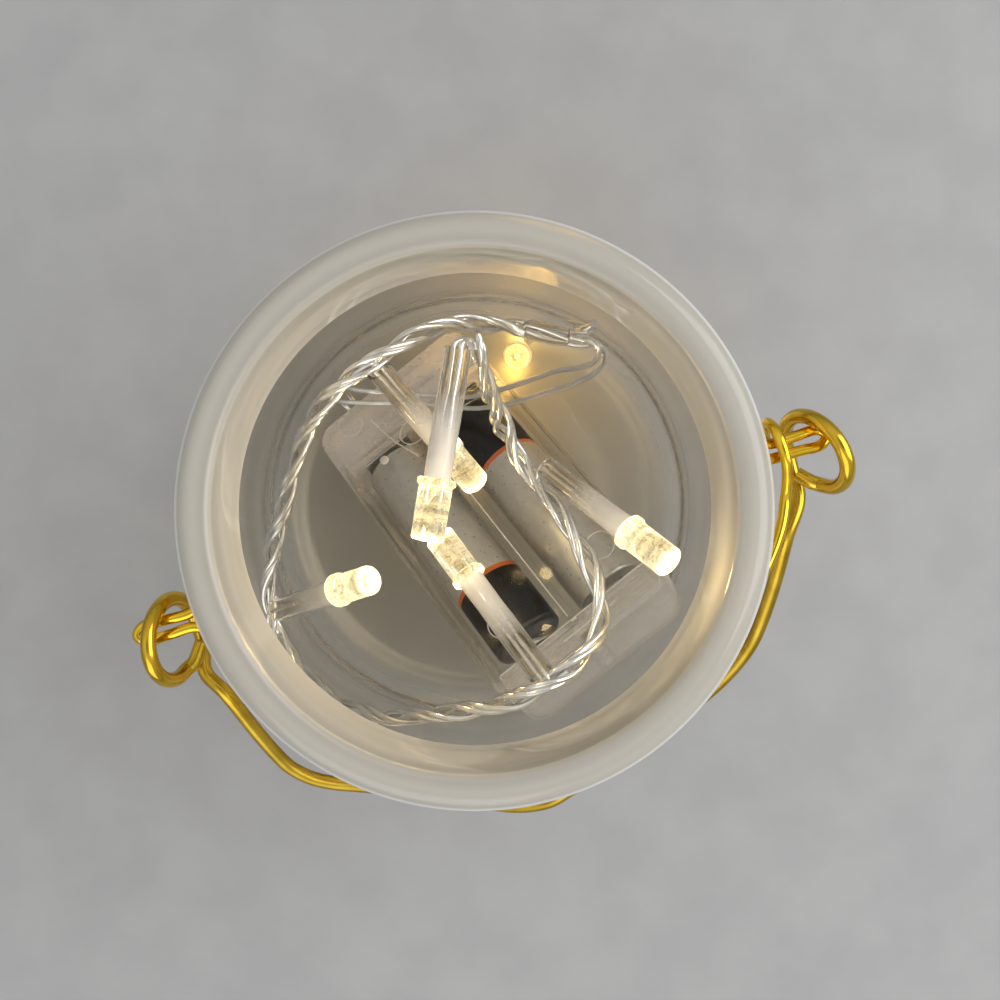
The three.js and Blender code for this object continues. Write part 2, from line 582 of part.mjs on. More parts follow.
// String: one path, cut where a lamp hangs on it
const stringStart = spliceEnd.clone().addScaledVector(spliceAxis, gap);
const straightOut = stringStart.clone().addScaledVector(spliceAxis, cableDiameter).toArray();
const stretches = [[straightOut, ...stringRoute[0]], ...stringRoute.slice(1)];
const stringPath = new THREE.CatmullRomCurve3([stringStart, ...stretches.flat().map(point)]);
const spans = stringPath.points.length - 1;
let from = 0;
stretches.forEach((stretch, i) => {
  const to = from + stretch.length;
  const cutBack = (t, way) => {
    const near = stringPath.getPoint((t + 0.02 * way) / spans);
    const speed = near.distanceTo(stringPath.getPoint(t / spans)) / 0.02;
    return (t + (way * gap) / 2 / speed) / spans;
  };
  const start = from === 0 ? 0 : cutBack(from, 1);
  const end = to === spans ? 1 : cutBack(to, -1);
  const path = new Stretch(stringPath, start, end);
  add(jarLight, `cable_${i + 1}`,
    tube(path, cableDiameter, 8, Math.round(path.getLength() / (2.5 * cableDiameter))), wireClear);
  hangLamp(stringLamps[i], stringPath.getPoint(to / spans), stringPath.getTangent(to / spans), cableDiameter);
  from = to;
});

// Branch
const branchPath = new THREE.CatmullRomCurve3(
  [atSplice(...branchSeat), beforeSplice(...branchSeat, 1.2), ...branchRoute].map(point));
add(jarLight, 'cable_6', tube(branchPath, branchDiameter, 8,
  Math.round(branchPath.getLength() / (2.5 * branchDiameter))), wireClear);
hangLamp(6, branchPath.getPoint(1), branchPath.getTangent(1), branchDiameter);

const degrees = THREE.MathUtils.radToDeg;
console.log(`bail rest ${degrees(bailRest).toFixed(1)} degrees`);
console.log(`box ${boxLength.toFixed(1)} x ${boxWidth.toFixed(1)} x ${boxHeight.toFixed(1)}, lean ${
  degrees(lean).toFixed(1)} degrees, low end at ${box.position.toArray().map((v) => v.toFixed(2))}`);

export default jarLight;
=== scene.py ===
# %% [markdown]
# # A jar light
# An open, wide-mouthed glass jar with a gold wire bail. In the jar a clear battery box leans against the
# wall, and a string of warm lamps hangs over it. The solid model gives every piece its size and place.
# This lesson dresses it: finer shapes where the solids are coarse, and finishes made from nodes.
# Lengths are written in millimetres, as on a drawing, and turned into metres where a mesh is made.

# %% Load the solid model
import math

import bmesh
import bpy
from mathutils import Euler, Matrix, Vector


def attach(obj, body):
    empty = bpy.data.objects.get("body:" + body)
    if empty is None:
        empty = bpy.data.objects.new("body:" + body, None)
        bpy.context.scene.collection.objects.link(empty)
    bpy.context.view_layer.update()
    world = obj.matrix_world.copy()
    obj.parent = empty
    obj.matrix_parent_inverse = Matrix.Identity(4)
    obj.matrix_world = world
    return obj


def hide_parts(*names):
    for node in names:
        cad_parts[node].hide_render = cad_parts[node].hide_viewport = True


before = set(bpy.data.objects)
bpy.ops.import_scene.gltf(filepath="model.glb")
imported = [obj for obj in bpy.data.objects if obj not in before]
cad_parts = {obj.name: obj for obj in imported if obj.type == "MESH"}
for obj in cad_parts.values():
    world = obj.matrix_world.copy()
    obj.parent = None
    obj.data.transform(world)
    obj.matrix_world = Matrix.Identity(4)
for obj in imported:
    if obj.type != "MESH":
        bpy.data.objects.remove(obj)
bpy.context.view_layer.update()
scene = bpy.context.scene
MM = 0.001

# %% [markdown]
# ## Camera
# The picture looks straight down into the mouth from about 26 cm above the table. A real camera that
# close shows the far floor of the jar much smaller than its lip, so the distance matters more than the
# lens. The small shift only frames the jar a little off the middle, as in the picture.

# %% Camera over the mouth
CAMERA_PLACE, CAMERA_TURN = (0.00181, 0.00228, 0.26275), math.radians(-16.26)
LENS, SENSOR, SHIFT = 41.4, 36, (0.018, -0.008)


def placed(name, data):
    """A new object in the scene."""
    made = bpy.data.objects.new(name, data)
    scene.collection.objects.link(made)
    return made


scene.view_settings.view_transform = "Standard"
camera = placed("camera", bpy.data.cameras.new("camera"))
scene.camera = camera
camera.location = CAMERA_PLACE
camera.rotation_euler = (0, 0, CAMERA_TURN)
camera.data.lens, camera.data.sensor_width = LENS, SENSOR
camera.data.shift_x, camera.data.shift_y = SHIFT
camera.data.clip_start = 0.01
print("camera height", camera.location.z)

# %% [markdown]
# ## Building with nodes
# Finishes and Geometry Nodes trees are both node trees, so one small helper serves both: it adds a node,
# sets its plain values and joins the outputs that it is given. That keeps each recipe short enough to
# read as a list of steps.


# %% Helpers for node trees
def put(tree, kind, values=None, **settings):
    """Add a node. A value is either plain or the output that the input is joined to."""
    made = tree.nodes.new(kind)
    for key, value in settings.items():
        setattr(made, key, value)
    for key, value in (values or {}).items():
        if isinstance(value, bpy.types.NodeSocket):
            tree.links.new(value, made.inputs[key])
        else:
            made.inputs[key].default_value = value
    return made.outputs


def maths(tree, operation, *values):
    return put(tree, "ShaderNodeMath", dict(enumerate(values)), operation=operation)[0]


def ramp(tree, value, *stops, blend="LINEAR"):
    """Colours against a value: each stop is a place and a colour or a grey."""
    made = tree.nodes.new("ShaderNodeValToRGB")
    tree.links.new(value, made.inputs["Fac"])
    made.color_ramp.interpolation = blend
    elements = made.color_ramp.elements
    while len(elements) < len(stops):
        elements.new(0.5)
    for element, (place, colour) in zip(elements, stops):
        element.position = place
        element.color = (*colour, 1) if isinstance(colour, tuple) else (colour, colour, colour, 1)
    return made.outputs["Color"]


def blended(tree, first, second, factor=1.0, kind="MIX"):
    """Two colours mixed, or multiplied, by a factor."""
    return put(tree, "ShaderNodeMix", {0: factor, 6: first, 7: second}, data_type="RGBA",
               blend_type=kind)[2]


def part_way(tree, value, start, end):
    """How far a value has come from a start to an end, from 0 to 1."""
    return put(tree, "ShaderNodeMapRange", {"Value": value, "From Min": start, "From Max": end})[0]


def own_place(tree):
    """Where a point lies in the object's own coordinates, in metres."""
    return put(tree, "ShaderNodeTexCoord")["Object"]


def own_height(tree):
    """How high a point lies, in the same coordinates."""
    return put(tree, "ShaderNodeSeparateXYZ", {0: own_place(tree)})["Z"]


def new_finish(name, values):
    """A finish with its shader. What is the same all over is set on the shader's own sockets."""
    finish = bpy.data.materials.new(name)
    finish.use_nodes = True
    shader = finish.node_tree.nodes["Principled BSDF"]
    for key, value in values.items():
        shader.inputs[key].default_value = value
    return finish, finish.node_tree, shader


def noise(tree, scale, detail=3, stretch=None):
    """Fine irregularity, in steps per metre, in the object's own coordinates."""
    where = own_place(tree)
    if stretch:
        where = put(tree, "ShaderNodeMapping", {"Vector": where, "Scale": stretch})[0]
    return put(tree, "ShaderNodeTexNoise", {"Vector": where, "Scale": scale, "Detail": detail})[0]


def feed(tree, shader, **outputs):
    """Join outputs to the shader's sockets, named with underscores for spaces."""
    for key, output in outputs.items():
        tree.links.new(output, shader.inputs[key.replace("_", " ")])


def bumped(tree, shader, height, depth, strength):
    """Let a grey height, of the given depth in millimetres, bend the light."""
    feed(tree, shader, Normal=put(tree, "ShaderNodeBump", {
        "Height": height, "Distance": depth * MM, "Strength": strength})["Normal"])


def lets_light_in(tree, shader, tint):
    """Let light for what lies inside pass straight through a thin clear wall."""
    rays = put(tree, "ShaderNodeLightPath")
    inside = maths(tree, "MAXIMUM", rays["Is Shadow Ray"], rays["Is Diffuse Ray"])
    clear = put(tree, "ShaderNodeBsdfTransparent", {"Color": tint})[0]
    mix = put(tree, "ShaderNodeMixShader", {0: inside, 1: shader.outputs[0], 2: clear})[0]
    tree.links.new(mix, tree.nodes["Material Output"].inputs["Surface"])


print("helpers ready")

# %% [markdown]
# ## Floor and light
# A plain pale floor and soft, even room light, a little stronger from one side, so that colours come out
# about as they are written. Glass and wire need something to mirror, so the room is brighter above than
# at the horizon, with a darker patch straight overhead.

# %% Floor
FLOOR_RADIUS, FLOOR_DROP = 3, 0.0004
floor_mesh = bpy.data.meshes.new("floor")
bm = bmesh.new()
bmesh.ops.create_circle(bm, cap_ends=True, radius=FLOOR_RADIUS, segments=64)
bmesh.ops.translate(bm, verts=bm.verts, vec=(0, 0, -FLOOR_DROP))
bm.to_mesh(floor_mesh)
floor = placed("floor", floor_mesh)
floor_finish, tree, shader = new_finish("pale_table", {"Roughness": 0.8, "Specular IOR Level": 0.2})
feed(tree, shader, Base_Color=ramp(tree, noise(tree, 60), (0.35, (0.335, 0.335, 0.335)),
                                   (0.65, (0.36, 0.36, 0.357))))
floor_mesh.materials.append(floor_finish)
print("floor", 2 * FLOOR_RADIUS, "m across")

# %% Light
JAR_MIDDLE = Vector((0, 0, 0.05))
world = bpy.data.worlds.new("room")
scene.world = world
world.use_nodes = True
tree = world.node_tree
height = put(tree, "ShaderNodeSeparateXYZ", {0: put(tree, "ShaderNodeTexCoord")["Generated"]})["Z"]
sky = ramp(tree, height, (0.0, (0.36, 0.36, 0.37)), (0.25, (0.46, 0.46, 0.47)), (0.8, 0.78), (0.93, 0.78),
           (0.98, 0.3))
tree.links.new(sky, tree.nodes["Background"].inputs["Color"])


def soft_lamp(name, place, size, power, colour=(1, 1, 1)):
    """A square soft light that faces the middle of the jar."""
    lamp = placed(name, bpy.data.lights.new(name, "AREA"))
    lamp.data.size, lamp.data.energy, lamp.data.color = size, power, colour
    lamp.location = place
    lamp.rotation_euler = (Vector(place) - JAR_MIDDLE).to_track_quat("Z", "Y").to_euler()


soft_lamp("window", (0.48, -0.03, 0.48), 0.6, 3.2)
soft_lamp("fill", (-0.3, -0.5, 0.4), 0.6, 1.6, (0.95, 0.97, 1))
print("two soft lamps and a pale room")

# %% [markdown]
# ## Smooth lines
# Wires in this object are all bent by hand, so each one is a smooth curve through a few points. For most
# wires these are the points of the solid model. A Catmull-Rom curve passes through every point, which a
# Bezier handle would need tuning for, and its centripetal form never loops between close points.


# %% A smooth curve through points
def smooth(points, steps):
    """A curve through the points, with a number of steps between each two of them."""
    ends = [Vector(p) for p in points]
    ends = [2 * ends[0] - ends[1], *ends, 2 * ends[-1] - ends[-2]]
    line = []
    for a, b, c, d in zip(ends, ends[1:], ends[2:], ends[3:]):
        before, here, after = ((q - p).length ** 0.5 for p, q in ((a, b), (b, c), (c, d)))
        leave = here * ((b - a) / before - (c - a) / (before + here) + (c - b) / here)
        arrive = here * ((c - b) / here - (d - b) / (here + after) + (d - c) / after)
        for i in range(steps):
            t = i / steps
            line.append((2 * t**3 - 3 * t**2 + 1) * b + (t**3 - 2 * t**2 + t) * leave
                        + (3 * t**2 - 2 * t**3) * c + (t**3 - t**2) * arrive)
    return line + [ends[-2]]


def length_of(line):
    return sum((b - a).length for a, b in zip(line, line[1:]))


def line_mesh(name, *lines):
    """Lines, in millimetres, as a mesh of edges only, for a tree to work on."""
    mesh = bpy.data.meshes.new(name)
    points, edges = [], []
    for line in lines:
        edges += [(len(points) + i, len(points) + i + 1) for i in range(len(line) - 1)]
        points += [p * MM for p in line]
    mesh.from_pydata(points, edges, [])
    return mesh


print("test curve", round(length_of(smooth([(0, 0, 0), (10, 0, 0), (10, 10, 0)], 8)), 2), "mm")

# %% [markdown]
# ## A tree for bent wire
# Ring, bail, springs, leads and lamp legs are all round wire that follows a line. A curve object with a
# bevel would do, but a tree is written once and used again with other sizes, and its last steps serve the
# twisted wire too.


# %% Geometry tree: wire along a line
def new_tree(name, **kinds):
    """An empty geometry tree with named inputs, and the outputs of its input node."""
    tree = bpy.data.node_groups.new(name, "GeometryNodeTree")
    tree.interface.new_socket("Geometry", in_out="INPUT", socket_type="NodeSocketGeometry")
    for label, kind in kinds.items():
        tree.interface.new_socket(label.replace("_", " "), in_out="INPUT", socket_type="NodeSocket" + kind)
    tree.interface.new_socket("Geometry", in_out="OUTPUT", socket_type="NodeSocketGeometry")
    return tree, put(tree, "NodeGroupInput")


def swept(tree, curve, diameter, sides, finish):
    """The last steps of every wire: a round section along the curve, smooth, with its finish."""
    circle = put(tree, "GeometryNodeCurvePrimitiveCircle", {
        "Resolution": sides, "Radius": maths(tree, "MULTIPLY", diameter, 0.5)})["Curve"]
    shape = put(tree, "GeometryNodeCurveToMesh", {
        "Curve": curve, "Profile Curve": circle, "Fill Caps": True})[0]
    shape = put(tree, "GeometryNodeSetShadeSmooth", {0: shape})[0]
    shape = put(tree, "GeometryNodeRealizeInstances", {0: shape})[0]
    shape = put(tree, "GeometryNodeSetMaterial", {"Geometry": shape, "Material": finish})[0]
    put(tree, "NodeGroupOutput", {0: shape})


wire_tree, given = new_tree("bent_wire", Wire_diameter="Float", Sides="Int", Finish="Material")
wire_curve = put(wire_tree, "GeometryNodeMeshToCurve", {0: given["Geometry"]})[0]
swept(wire_tree, wire_curve, given["Wire diameter"], given["Sides"], given["Finish"])
print("bent_wire:", len(wire_tree.nodes), "nodes")

# %% [markdown]
# ## A tree for twisted wire
# The string is two pairs of thin insulated wires twisted loosely by hand. The tree makes a copy of the
# line for each wire and pushes it sideways, round the line and on along it, the two of a pair side by side.
# A little noise lets the twist open and close, as a loose twist does.

# %% Geometry tree: strands twisted round a line
DRIFT_STEPS = 65  # steps of noise in a metre of wire
twist_tree, given = new_tree("twisted_wire", Strands="Int", Strand_diameter="Float", Spread="Float",
                             Looseness="Float", Lay="Float", Pairing="Float", Sides="Int",
                             Finish="Material")
strands = put(twist_tree, "GeometryNodeDuplicateElements", {
    "Geometry": put(twist_tree, "GeometryNodeMeshToCurve", {0: given["Geometry"]})[0],
    "Amount": given["Strands"]}, domain="SPLINE")
which, along = strands["Duplicate Index"], put(twist_tree, "GeometryNodeSplineParameter")["Length"]


def twist(operation, *values):
    return maths(twist_tree, operation, *values)


turns = twist("ADD", twist("DIVIDE", along, given["Lay"]), twist("DIVIDE", which, given["Strands"]))
second = twist("MODULO", which, 2.0)
turns = twist("SUBTRACT", turns, twist("MULTIPLY", second, given["Pairing"]))
angle = twist("MULTIPLY", turns, 2 * math.pi)
drift = put(twist_tree, "ShaderNodeTexNoise", {
    "W": twist("ADD", twist("SUBTRACT", which, second), twist("MULTIPLY", along, DRIFT_STEPS)),
    "Scale": 1, "Detail": 1}, noise_dimensions="1D")[0]
open_by = twist("MULTIPLY", twist("SUBTRACT", drift, 0.5), given["Looseness"])
reach = twist("ADD", given["Spread"], open_by)
side = put(twist_tree, "GeometryNodeInputNormal")["Normal"]
up = put(twist_tree, "ShaderNodeVectorMath", {
    0: put(twist_tree, "GeometryNodeInputTangent")["Tangent"], 1: side}, operation="CROSS_PRODUCT")[0]
parts = [put(twist_tree, "ShaderNodeVectorMath", {
    0: way, "Scale": twist("MULTIPLY", reach, twist(part, angle))},
    operation="SCALE")[0] for way, part in ((side, "COSINE"), (up, "SINE"))]
offset = put(twist_tree, "ShaderNodeVectorMath", dict(enumerate(parts)), operation="ADD")[0]
twisted = put(twist_tree, "GeometryNodeSetPosition", {"Geometry": strands["Geometry"], "Offset": offset})[0]
swept(twist_tree, twisted, given["Strand diameter"], given["Sides"], given["Finish"])
print("twisted_wire:", len(twist_tree.nodes), "nodes")


# %% Run a tree and keep a plain mesh
def made_plain(piece):
    """Keep what the modifiers of a piece make as its plain mesh."""
    evaluated = piece.evaluated_get(bpy.context.evaluated_depsgraph_get())
    result = bpy.data.meshes.new_from_object(evaluated)
    piece.modifiers.clear()
    piece.data = result


def grown(name, mesh, tree, **inputs):
    """Run a tree on a mesh of lines or points and keep the result as an object with a plain mesh."""
    piece = placed(name, mesh)
    modifier = piece.modifiers.new("shape", "NODES")
    modifier.node_group = tree
    for item in tree.interface.items_tree:
        key = item.name.replace(" ", "_")
        if item.in_out == "INPUT" and key in inputs:
            modifier[item.identifier] = inputs[key]
    made_plain(piece)
    piece.data.name = name
    return piece


def wire(name, lines, diameter, finish, sides):
    """Round wire along one or more lines, as one piece."""
    return grown(name, line_mesh(name, *lines), wire_tree, Wire_diameter=diameter * MM, Sides=sides,
                 Finish=finish)


def set_in(piece, body, *nodes, slot=None):
    """Let a piece move with a body and stand for solid nodes."""
    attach(piece, body)
    if nodes:
        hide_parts(*nodes)
    print(piece.name, "has", len(piece.data.polygons), "faces")


print("pieces can be grown and set in")


# %% [markdown]
# ## Finish of the clear wire
# The wire is a bright tinned strand in a clear jacket. The jacket works as a lens, so from every side the
# strand seems to fill it: silvery, with sharp white lines and dark edges. Strand and jacket could be two
# meshes, but they are too thin to be told apart, so one finish mixes metal with clear plastic under a
# glossy coat.

# %% Wire finish
wire_finish, tree, shader = new_finish("clear_wire", {
    "IOR": 1.4, "Transmission Weight": 0.9, "Coat Weight": 1.0, "Coat Roughness": 0.03})
silver = noise(tree, 420, 3)
feed(tree, shader,
     Base_Color=ramp(tree, silver, (0.3, (0.86, 0.84, 0.78)), (0.7, (0.97, 0.95, 0.9))),
     Metallic=ramp(tree, noise(tree, 260, 2), (0.35, 0.68), (0.65, 0.88)),
     Roughness=ramp(tree, silver, (0.3, 0.12), (0.7, 0.22)))
print(wire_finish.name)

# %% [markdown]
# ## Where the wires run
# Two leads leave the low end of the battery box, loop up over it and meet the string in a short clear
# splice. The string runs round the wall and across the mouth. A short branch goes down beside the box to
# the lamp there. These are the routes of the solid model.

# %% Frame of the battery box and of the splice
GAP = 0.3  # left between pieces that would touch
BOX_LEAN, BOX_TURN, BOX_CORNER = math.radians(29.5), math.radians(-67.7), (-7.84, 22.28, 5.30)
BOX_LENGTH, BOX_HEIGHT, CELL_HEIGHT, CELL_SIDE = 74.0, 17.8, 8.9, 9.0
box_place = Matrix.Translation(BOX_CORNER) @ Euler((0, -BOX_LEAN, BOX_TURN)).to_matrix().to_4x4()
splice_from, splice_to = Vector((22.9, 23.3, 69)), Vector((16.4, 26.4, 70.2))
splice_axis = (splice_to - splice_from).normalized()
splice_side = Vector((0, 0, 1)).cross(splice_axis).normalized()


def at_splice(side, up, back=GAP):
    """A place at the end of the splice where the leads and the branch come in."""
    return splice_from - back * splice_axis + side * splice_side + Vector((0, 0, up))


splice_length = (splice_to - splice_from).length
print("splice", round(splice_length, 2), "mm long")

# %% Leads
leads_at_box = [
    [(-1.1, -8.05, -8.9), (-3.4, -8.05, -8.9), (-6.9, -8.2, -7.6), (-8.6, -8.2, -4.1), (-6.4, -8.2, 0.9),
     (-1.4, -7.1, 4.3), (2.7, -4.2, 4.7), (7.2, 0.6, 3.5), (14.4, 6.6, 4.2), (20.6, 11, 6.4)],
    [(-1.1, -9.95, -8.9), (-3.4, -9.95, -8.9), (-6.9, -10.3, -7.6), (-8.3, -10.8, -3.8), (-5.8, -11.3, 0.5),
     (-1.1, -10.1, 2.9), (3.2, -6.3, 3), (8.7, -0.5, 2.7), (15.8, 5.6, 3.4), (22.7, 10.4, 5.2)],
]
leads_to_splice = [
    [(11.2, 20, 44), (17.2, 19.6, 51), (21, 19.2, 58), (24, 18.2, 63.6), (26.4, 18.2, 68),
     (27.2, 19.8, 70.6), (26.4, 21.4, 70.7)],
    [(11.8, 16.9, 44), (18.2, 16.6, 50.5), (23, 16.3, 56), (27.2, 17, 61), (28.8, 19, 65.4),
     (27.6, 20.8, 67.6)],
]
lead_seats = [(0.1, 1), (1, -0.2)]
LEAD_DIAMETER, LEAD_RUN_IN = 1.0, 2.3
leads = []
for number, (low, high, seat) in enumerate(zip(leads_at_box, leads_to_splice, lead_seats), 1):
    start = [box_place @ Vector((x, y, BOX_HEIGHT + z)) for x, y, z in low]
    line = smooth([*start, *high, at_splice(*seat, LEAD_RUN_IN), at_splice(*seat)], 10)
    lead = wire(f"lead_{number}", [line], LEAD_DIAMETER, wire_finish, 12)
    set_in(lead, "jar_body", f"lead_wire_{number}", slot="wire_jacket")
    leads.append((lead, line))

# %% String
string_route = [
    [(10.7, 28.6, 73), (5.3, 30, 76), (0.2, 29.4, 79), (-4.5, 28, 81), (-8.9, 26.7, 82)],
    [(-13.7, 25.3, 81), (-18.5, 23.3, 78), (-22.9, 20.1, 74), (-27, 15.4, 70), (-31.4, 9.6, 66),
     (-35.8, 3.6, 61), (-39.2, -2.1, 57), (-40.8, -7.3, 55.5)],
    [(-40.6, -13.4, 55), (-37.8, -20, 57), (-33.4, -25.1, 62), (-28.3, -28.1, 67), (-22.4, -29.6, 72),
     (-16.1, -30, 77), (-10.1, -30.2, 81), (-4.6, -30, 85), (-0.5, -29.4, 87.5), (3.1, -28.4, 88.5)],
    [(7.7, -27.2, 87.5), (11.7, -24.9, 85), (14.3, -21.6, 82.5), (15, -17.4, 81), (14.7, -12.7, 80),
     (13.8, -8, 79), (12.5, -3.5, 77.5), (10.6, 1.3, 73.7)],
    [(9.5, 5.4, 72), (8.5, 9.4, 74), (7.8, 13, 79), (7.2, 16.3, 85), (7.1, 19.8, 90.2), (7, 22.2, 93.2),
     (6.8, 24.4, 94.3)],
]
STRING_DIAMETER, STRAND, SPAN_STEPS = 2.1, 1.02, 12
string_start = splice_to + GAP * splice_axis
string_points = [string_start, string_start + STRING_DIAMETER * splice_axis,
                 *(Vector(p) for stretch in string_route for p in stretch)]
string_line = smooth(string_points, SPAN_STEPS)


def twisted_wire(name, line, strands, width, spread, looseness, lay, pairing=0.0):
    """Strands twisted round a line, with sizes in millimetres."""
    return grown(name, line_mesh(name, line), twist_tree, Strands=strands, Strand_diameter=width * MM,
                 Spread=spread * MM, Looseness=looseness * MM, Lay=lay * MM, Pairing=pairing, Sides=12,
                 Finish=wire_finish)


string = twisted_wire("string", string_line, strands=4, width=STRAND, spread=1.05, looseness=1.1, lay=21.0,
                      pairing=0.1)
set_in(string, "jar_body", *(f"cable_{n}" for n in range(1, 6)), slot="wire_jacket")

# %% Branch
BRANCH_DIAMETER = 1.3
branch_line = smooth([
    at_splice(-0.85, -0.5), at_splice(-0.85, -0.5, 1.5), (27.4, 23.8, 66.6), (29, 25.2, 62),
    (29.2, 26.4, 55), (28.5, 27.2, 46), (27.6, 28, 36), (25.4, 30, 24), (22, 31, 16), (19.4, 30, 12.5)],
    SPAN_STEPS)
branch = twisted_wire("branch", branch_line, strands=2, width=0.64, spread=0.34, looseness=0.05, lay=9.0)
set_in(branch, "jar_body", "cable_6", slot="wire_jacket")

# %% [markdown]
# ## Turned shapes
# The jar, cells, lamps and sleeves are all round about an axis. Blender's Screw modifier could turn a
# profile, but a short function gives closed poles, no seam and an attribute with the height along the
# axis, in millimetres, which the finishes use for bands and glow.


# %% A function for turned shapes
TURNED_CREASE = 40


def arc(x, y, rx, ry, start, end, steps):
    """Points on part of an ellipse, from one angle to another."""
    angles = [math.radians(start + (end - start) * i / steps) for i in range(steps + 1)]
    return [(x + rx * math.cos(a), y + ry * math.sin(a)) for a in angles]


def turned_mesh(name, profile, place, sides, closed=False, ripple=None):
    """A body of radius and height pairs turned about Z and set in its place."""
    points, rings, heights = [], [], []
    for radius, height in profile:
        count = 1 if radius == 0 else sides
        rings.append([len(points) + i for i in range(count)])
        for i in range(count):
            a = 2 * math.pi * i / sides
            r = radius * (1 + (ripple(a, height) if ripple else 0))
            points.append(place @ Vector((r * math.cos(a), r * math.sin(a), height)) * MM)
            heights.append(height)
    faces = []
    for lower, upper in zip(rings, rings[1:] + rings[:1] if closed else rings[1:]):
        for i in range(sides):
            j = (i + 1) % sides
            corners = [lower[i % len(lower)], lower[j % len(lower)], upper[j % len(upper)],
                       upper[i % len(upper)]]
            faces.append(list(dict.fromkeys(corners)))
    mesh = bpy.data.meshes.new(name)
    mesh.from_pydata(points, [], faces)
    mesh.attributes.new("height", "FLOAT", "POINT").data.foreach_set("value", heights)
    return mesh


def surfaced(mesh, finish, crease):
    """Give a mesh one finish, smooth but for edges sharper than the crease angle."""
    mesh.shade_smooth()
    mesh.set_sharp_from_angle(angle=math.radians(crease))
    mesh.materials.clear()
    mesh.materials.append(finish)


def turned(name, profile, place, sides, finish, **options):
    """A turned piece with its normals outwards."""
    mesh = turned_mesh(name, profile, place, sides, **options)
    bm = bmesh.new()
    bm.from_mesh(mesh)
    bmesh.ops.recalc_face_normals(bm, faces=bm.faces)
    bm.to_mesh(mesh)
    surfaced(mesh, finish, TURNED_CREASE)
    return placed(name, mesh)


def turned_height(tree):
    """The height along the axis of a turned shape, for its finish to read."""
    return put(tree, "ShaderNodeAttribute", attribute_name="height")["Fac"]


print("turned shapes ready")

# %% [markdown]
# ## Glass of the jar
# The body is clear glass. The thick lip and neck scatter the light and look milky from above. One finish
# does both: the height in the jar drives how much light passes straight through, how rough the surface
# is and how pale it looks. Painted into the colour are light and dark rings across the lip, for the
# bands that refraction makes in the thick glass, a painted highlight along the lip's outer edge, and a
# warm grey tint low in the body, painted shade and lamp light for the inside of the jar.

# %% Jar finish
LEVEL_TOP, WAVER = 0.104, 0.004  # where the levels end and how far they wander, in metres
# The rings of the lip are painted bands of light and shade, and its outer edge carries a painted highlight.
MOUTH_EDGE, LIP_EDGE = 0.0375, 0.0435  # the radii between which the rings of the lip lie, in metres
glass_finish, tree, shader = new_finish("jar_glass", {"IOR": 1.5, "Specular IOR Level": 0.5})
height = maths(tree, "ADD", own_height(tree), maths(tree, "MULTIPLY", noise(tree, 45, 2), WAVER))
level = part_way(tree, height, 0.0, LEVEL_TOP)
clearness = ramp(tree, level, (0.7, 1.0), (0.79, 0.22), (0.92, 0.25), (0.97, 0.34))
# Low in the body the tint is a warm grey, deepest at the bottom: painted shade and warm lamp light for the
# inside of the jar. Higher up it is the pale colour of the milky neck and lip.
tint = ramp(tree, level, (0.0, (0.88, 0.85, 0.77)), (0.72, (0.92, 0.9, 0.84)),
            (0.79, (0.74, 0.715, 0.655)), (0.91, (0.66, 0.64, 0.58)), (0.95, (0.49, 0.47, 0.415)),
            (0.98, (0.48, 0.46, 0.41)))
flat = put(tree, "ShaderNodeVectorMath", {0: own_place(tree), 1: (1, 1, 0)}, operation="MULTIPLY")[0]
across = put(tree, "ShaderNodeVectorMath", {0: flat}, operation="LENGTH")["Value"]
reach = part_way(tree, across, MOUTH_EDGE, LIP_EDGE)
# Light and dark rings across the lip, multiplied into the colour: painted bands for the refraction in the
# thick glass.
rings = ramp(tree, reach, (0.0, 1.0), (0.2, 0.9), (0.38, 1.0), (0.55, 0.93), (0.75, 1.0), (0.9, 0.9))
# A pale line along the outer edge of the lip: a painted highlight.
rim_highlight = maths(tree, "MULTIPLY", ramp(tree, reach, (0.8, 0.0), (0.9, 1.0)),
            ramp(tree, level, (0.88, 0.0), (0.9, 1.0)))
tint = blended(tree, blended(tree, tint, rings, kind="MULTIPLY"), (0.86, 0.86, 0.85, 1), rim_highlight)
feed(tree, shader, Base_Color=tint, Transmission_Weight=clearness,
     Roughness=ramp(tree, level, (0.05, 0.18), (0.11, 0.3), (0.16, 0.24), (0.26, 0.03), (0.7, 0.02),
                    (0.82, 0.035), (0.93, 0.05), (0.97, 0.18)))
bumped(tree, shader, noise(tree, 32, 2), 0.6, 0.12)
lets_light_in(tree, shader, ramp(tree, level, (0.7, (0.84, 0.82, 0.78)), (0.8, (0.7, 0.67, 0.6))))
print(glass_finish.name)

# %% Jar
JAR_RADIUS = 48
jar_profile = [
    (0, 1.1), (24, 0.9), (29, 0.25), (32, 0), *arc(39, 9, 9, 9, -90, 0, 14),
    (JAR_RADIUS, 30), (JAR_RADIUS, 52),
    *arc(41.3, 74, 6.7, 8, 0, 90, 14), *arc(41.3, 95.5, 2.2, 4.3, -90, 0, 10),
    *arc(40.4, 95.5, 3.1, 4.5, 0, 90, 12)[1:], *arc(38.7, 98.8, 1.2, 1.2, 90, 180, 8),
    (37.5, 90), *arc(37.5, 72.2, 7.5, 8, 90, 0, 14), (45, 52), (45, 30), *arc(36, 14, 9, 9, 0, -90, 14),
    (20, 5), (0, 5),
]
jar = turned("jar_glass", jar_profile, Matrix(), 160, glass_finish)
set_in(jar, "jar_body", "jar", slot="glass")

# %% [markdown]
# ## Gold wire
# Ring and bail are thin steel wire with a shiny gold-coloured coat. The ring is bright and clean. The bail
# is held and rubbed more, so its coat is duller, most of all low down, with more small dark specks. Low
# down its colour is also darker: partly wear, partly painted shade from the jar.


# %% Gold finishes
CLEAN_ABOVE, WORN_AND_SHADED_BELOW = 0.088, 0.078  # heights in metres


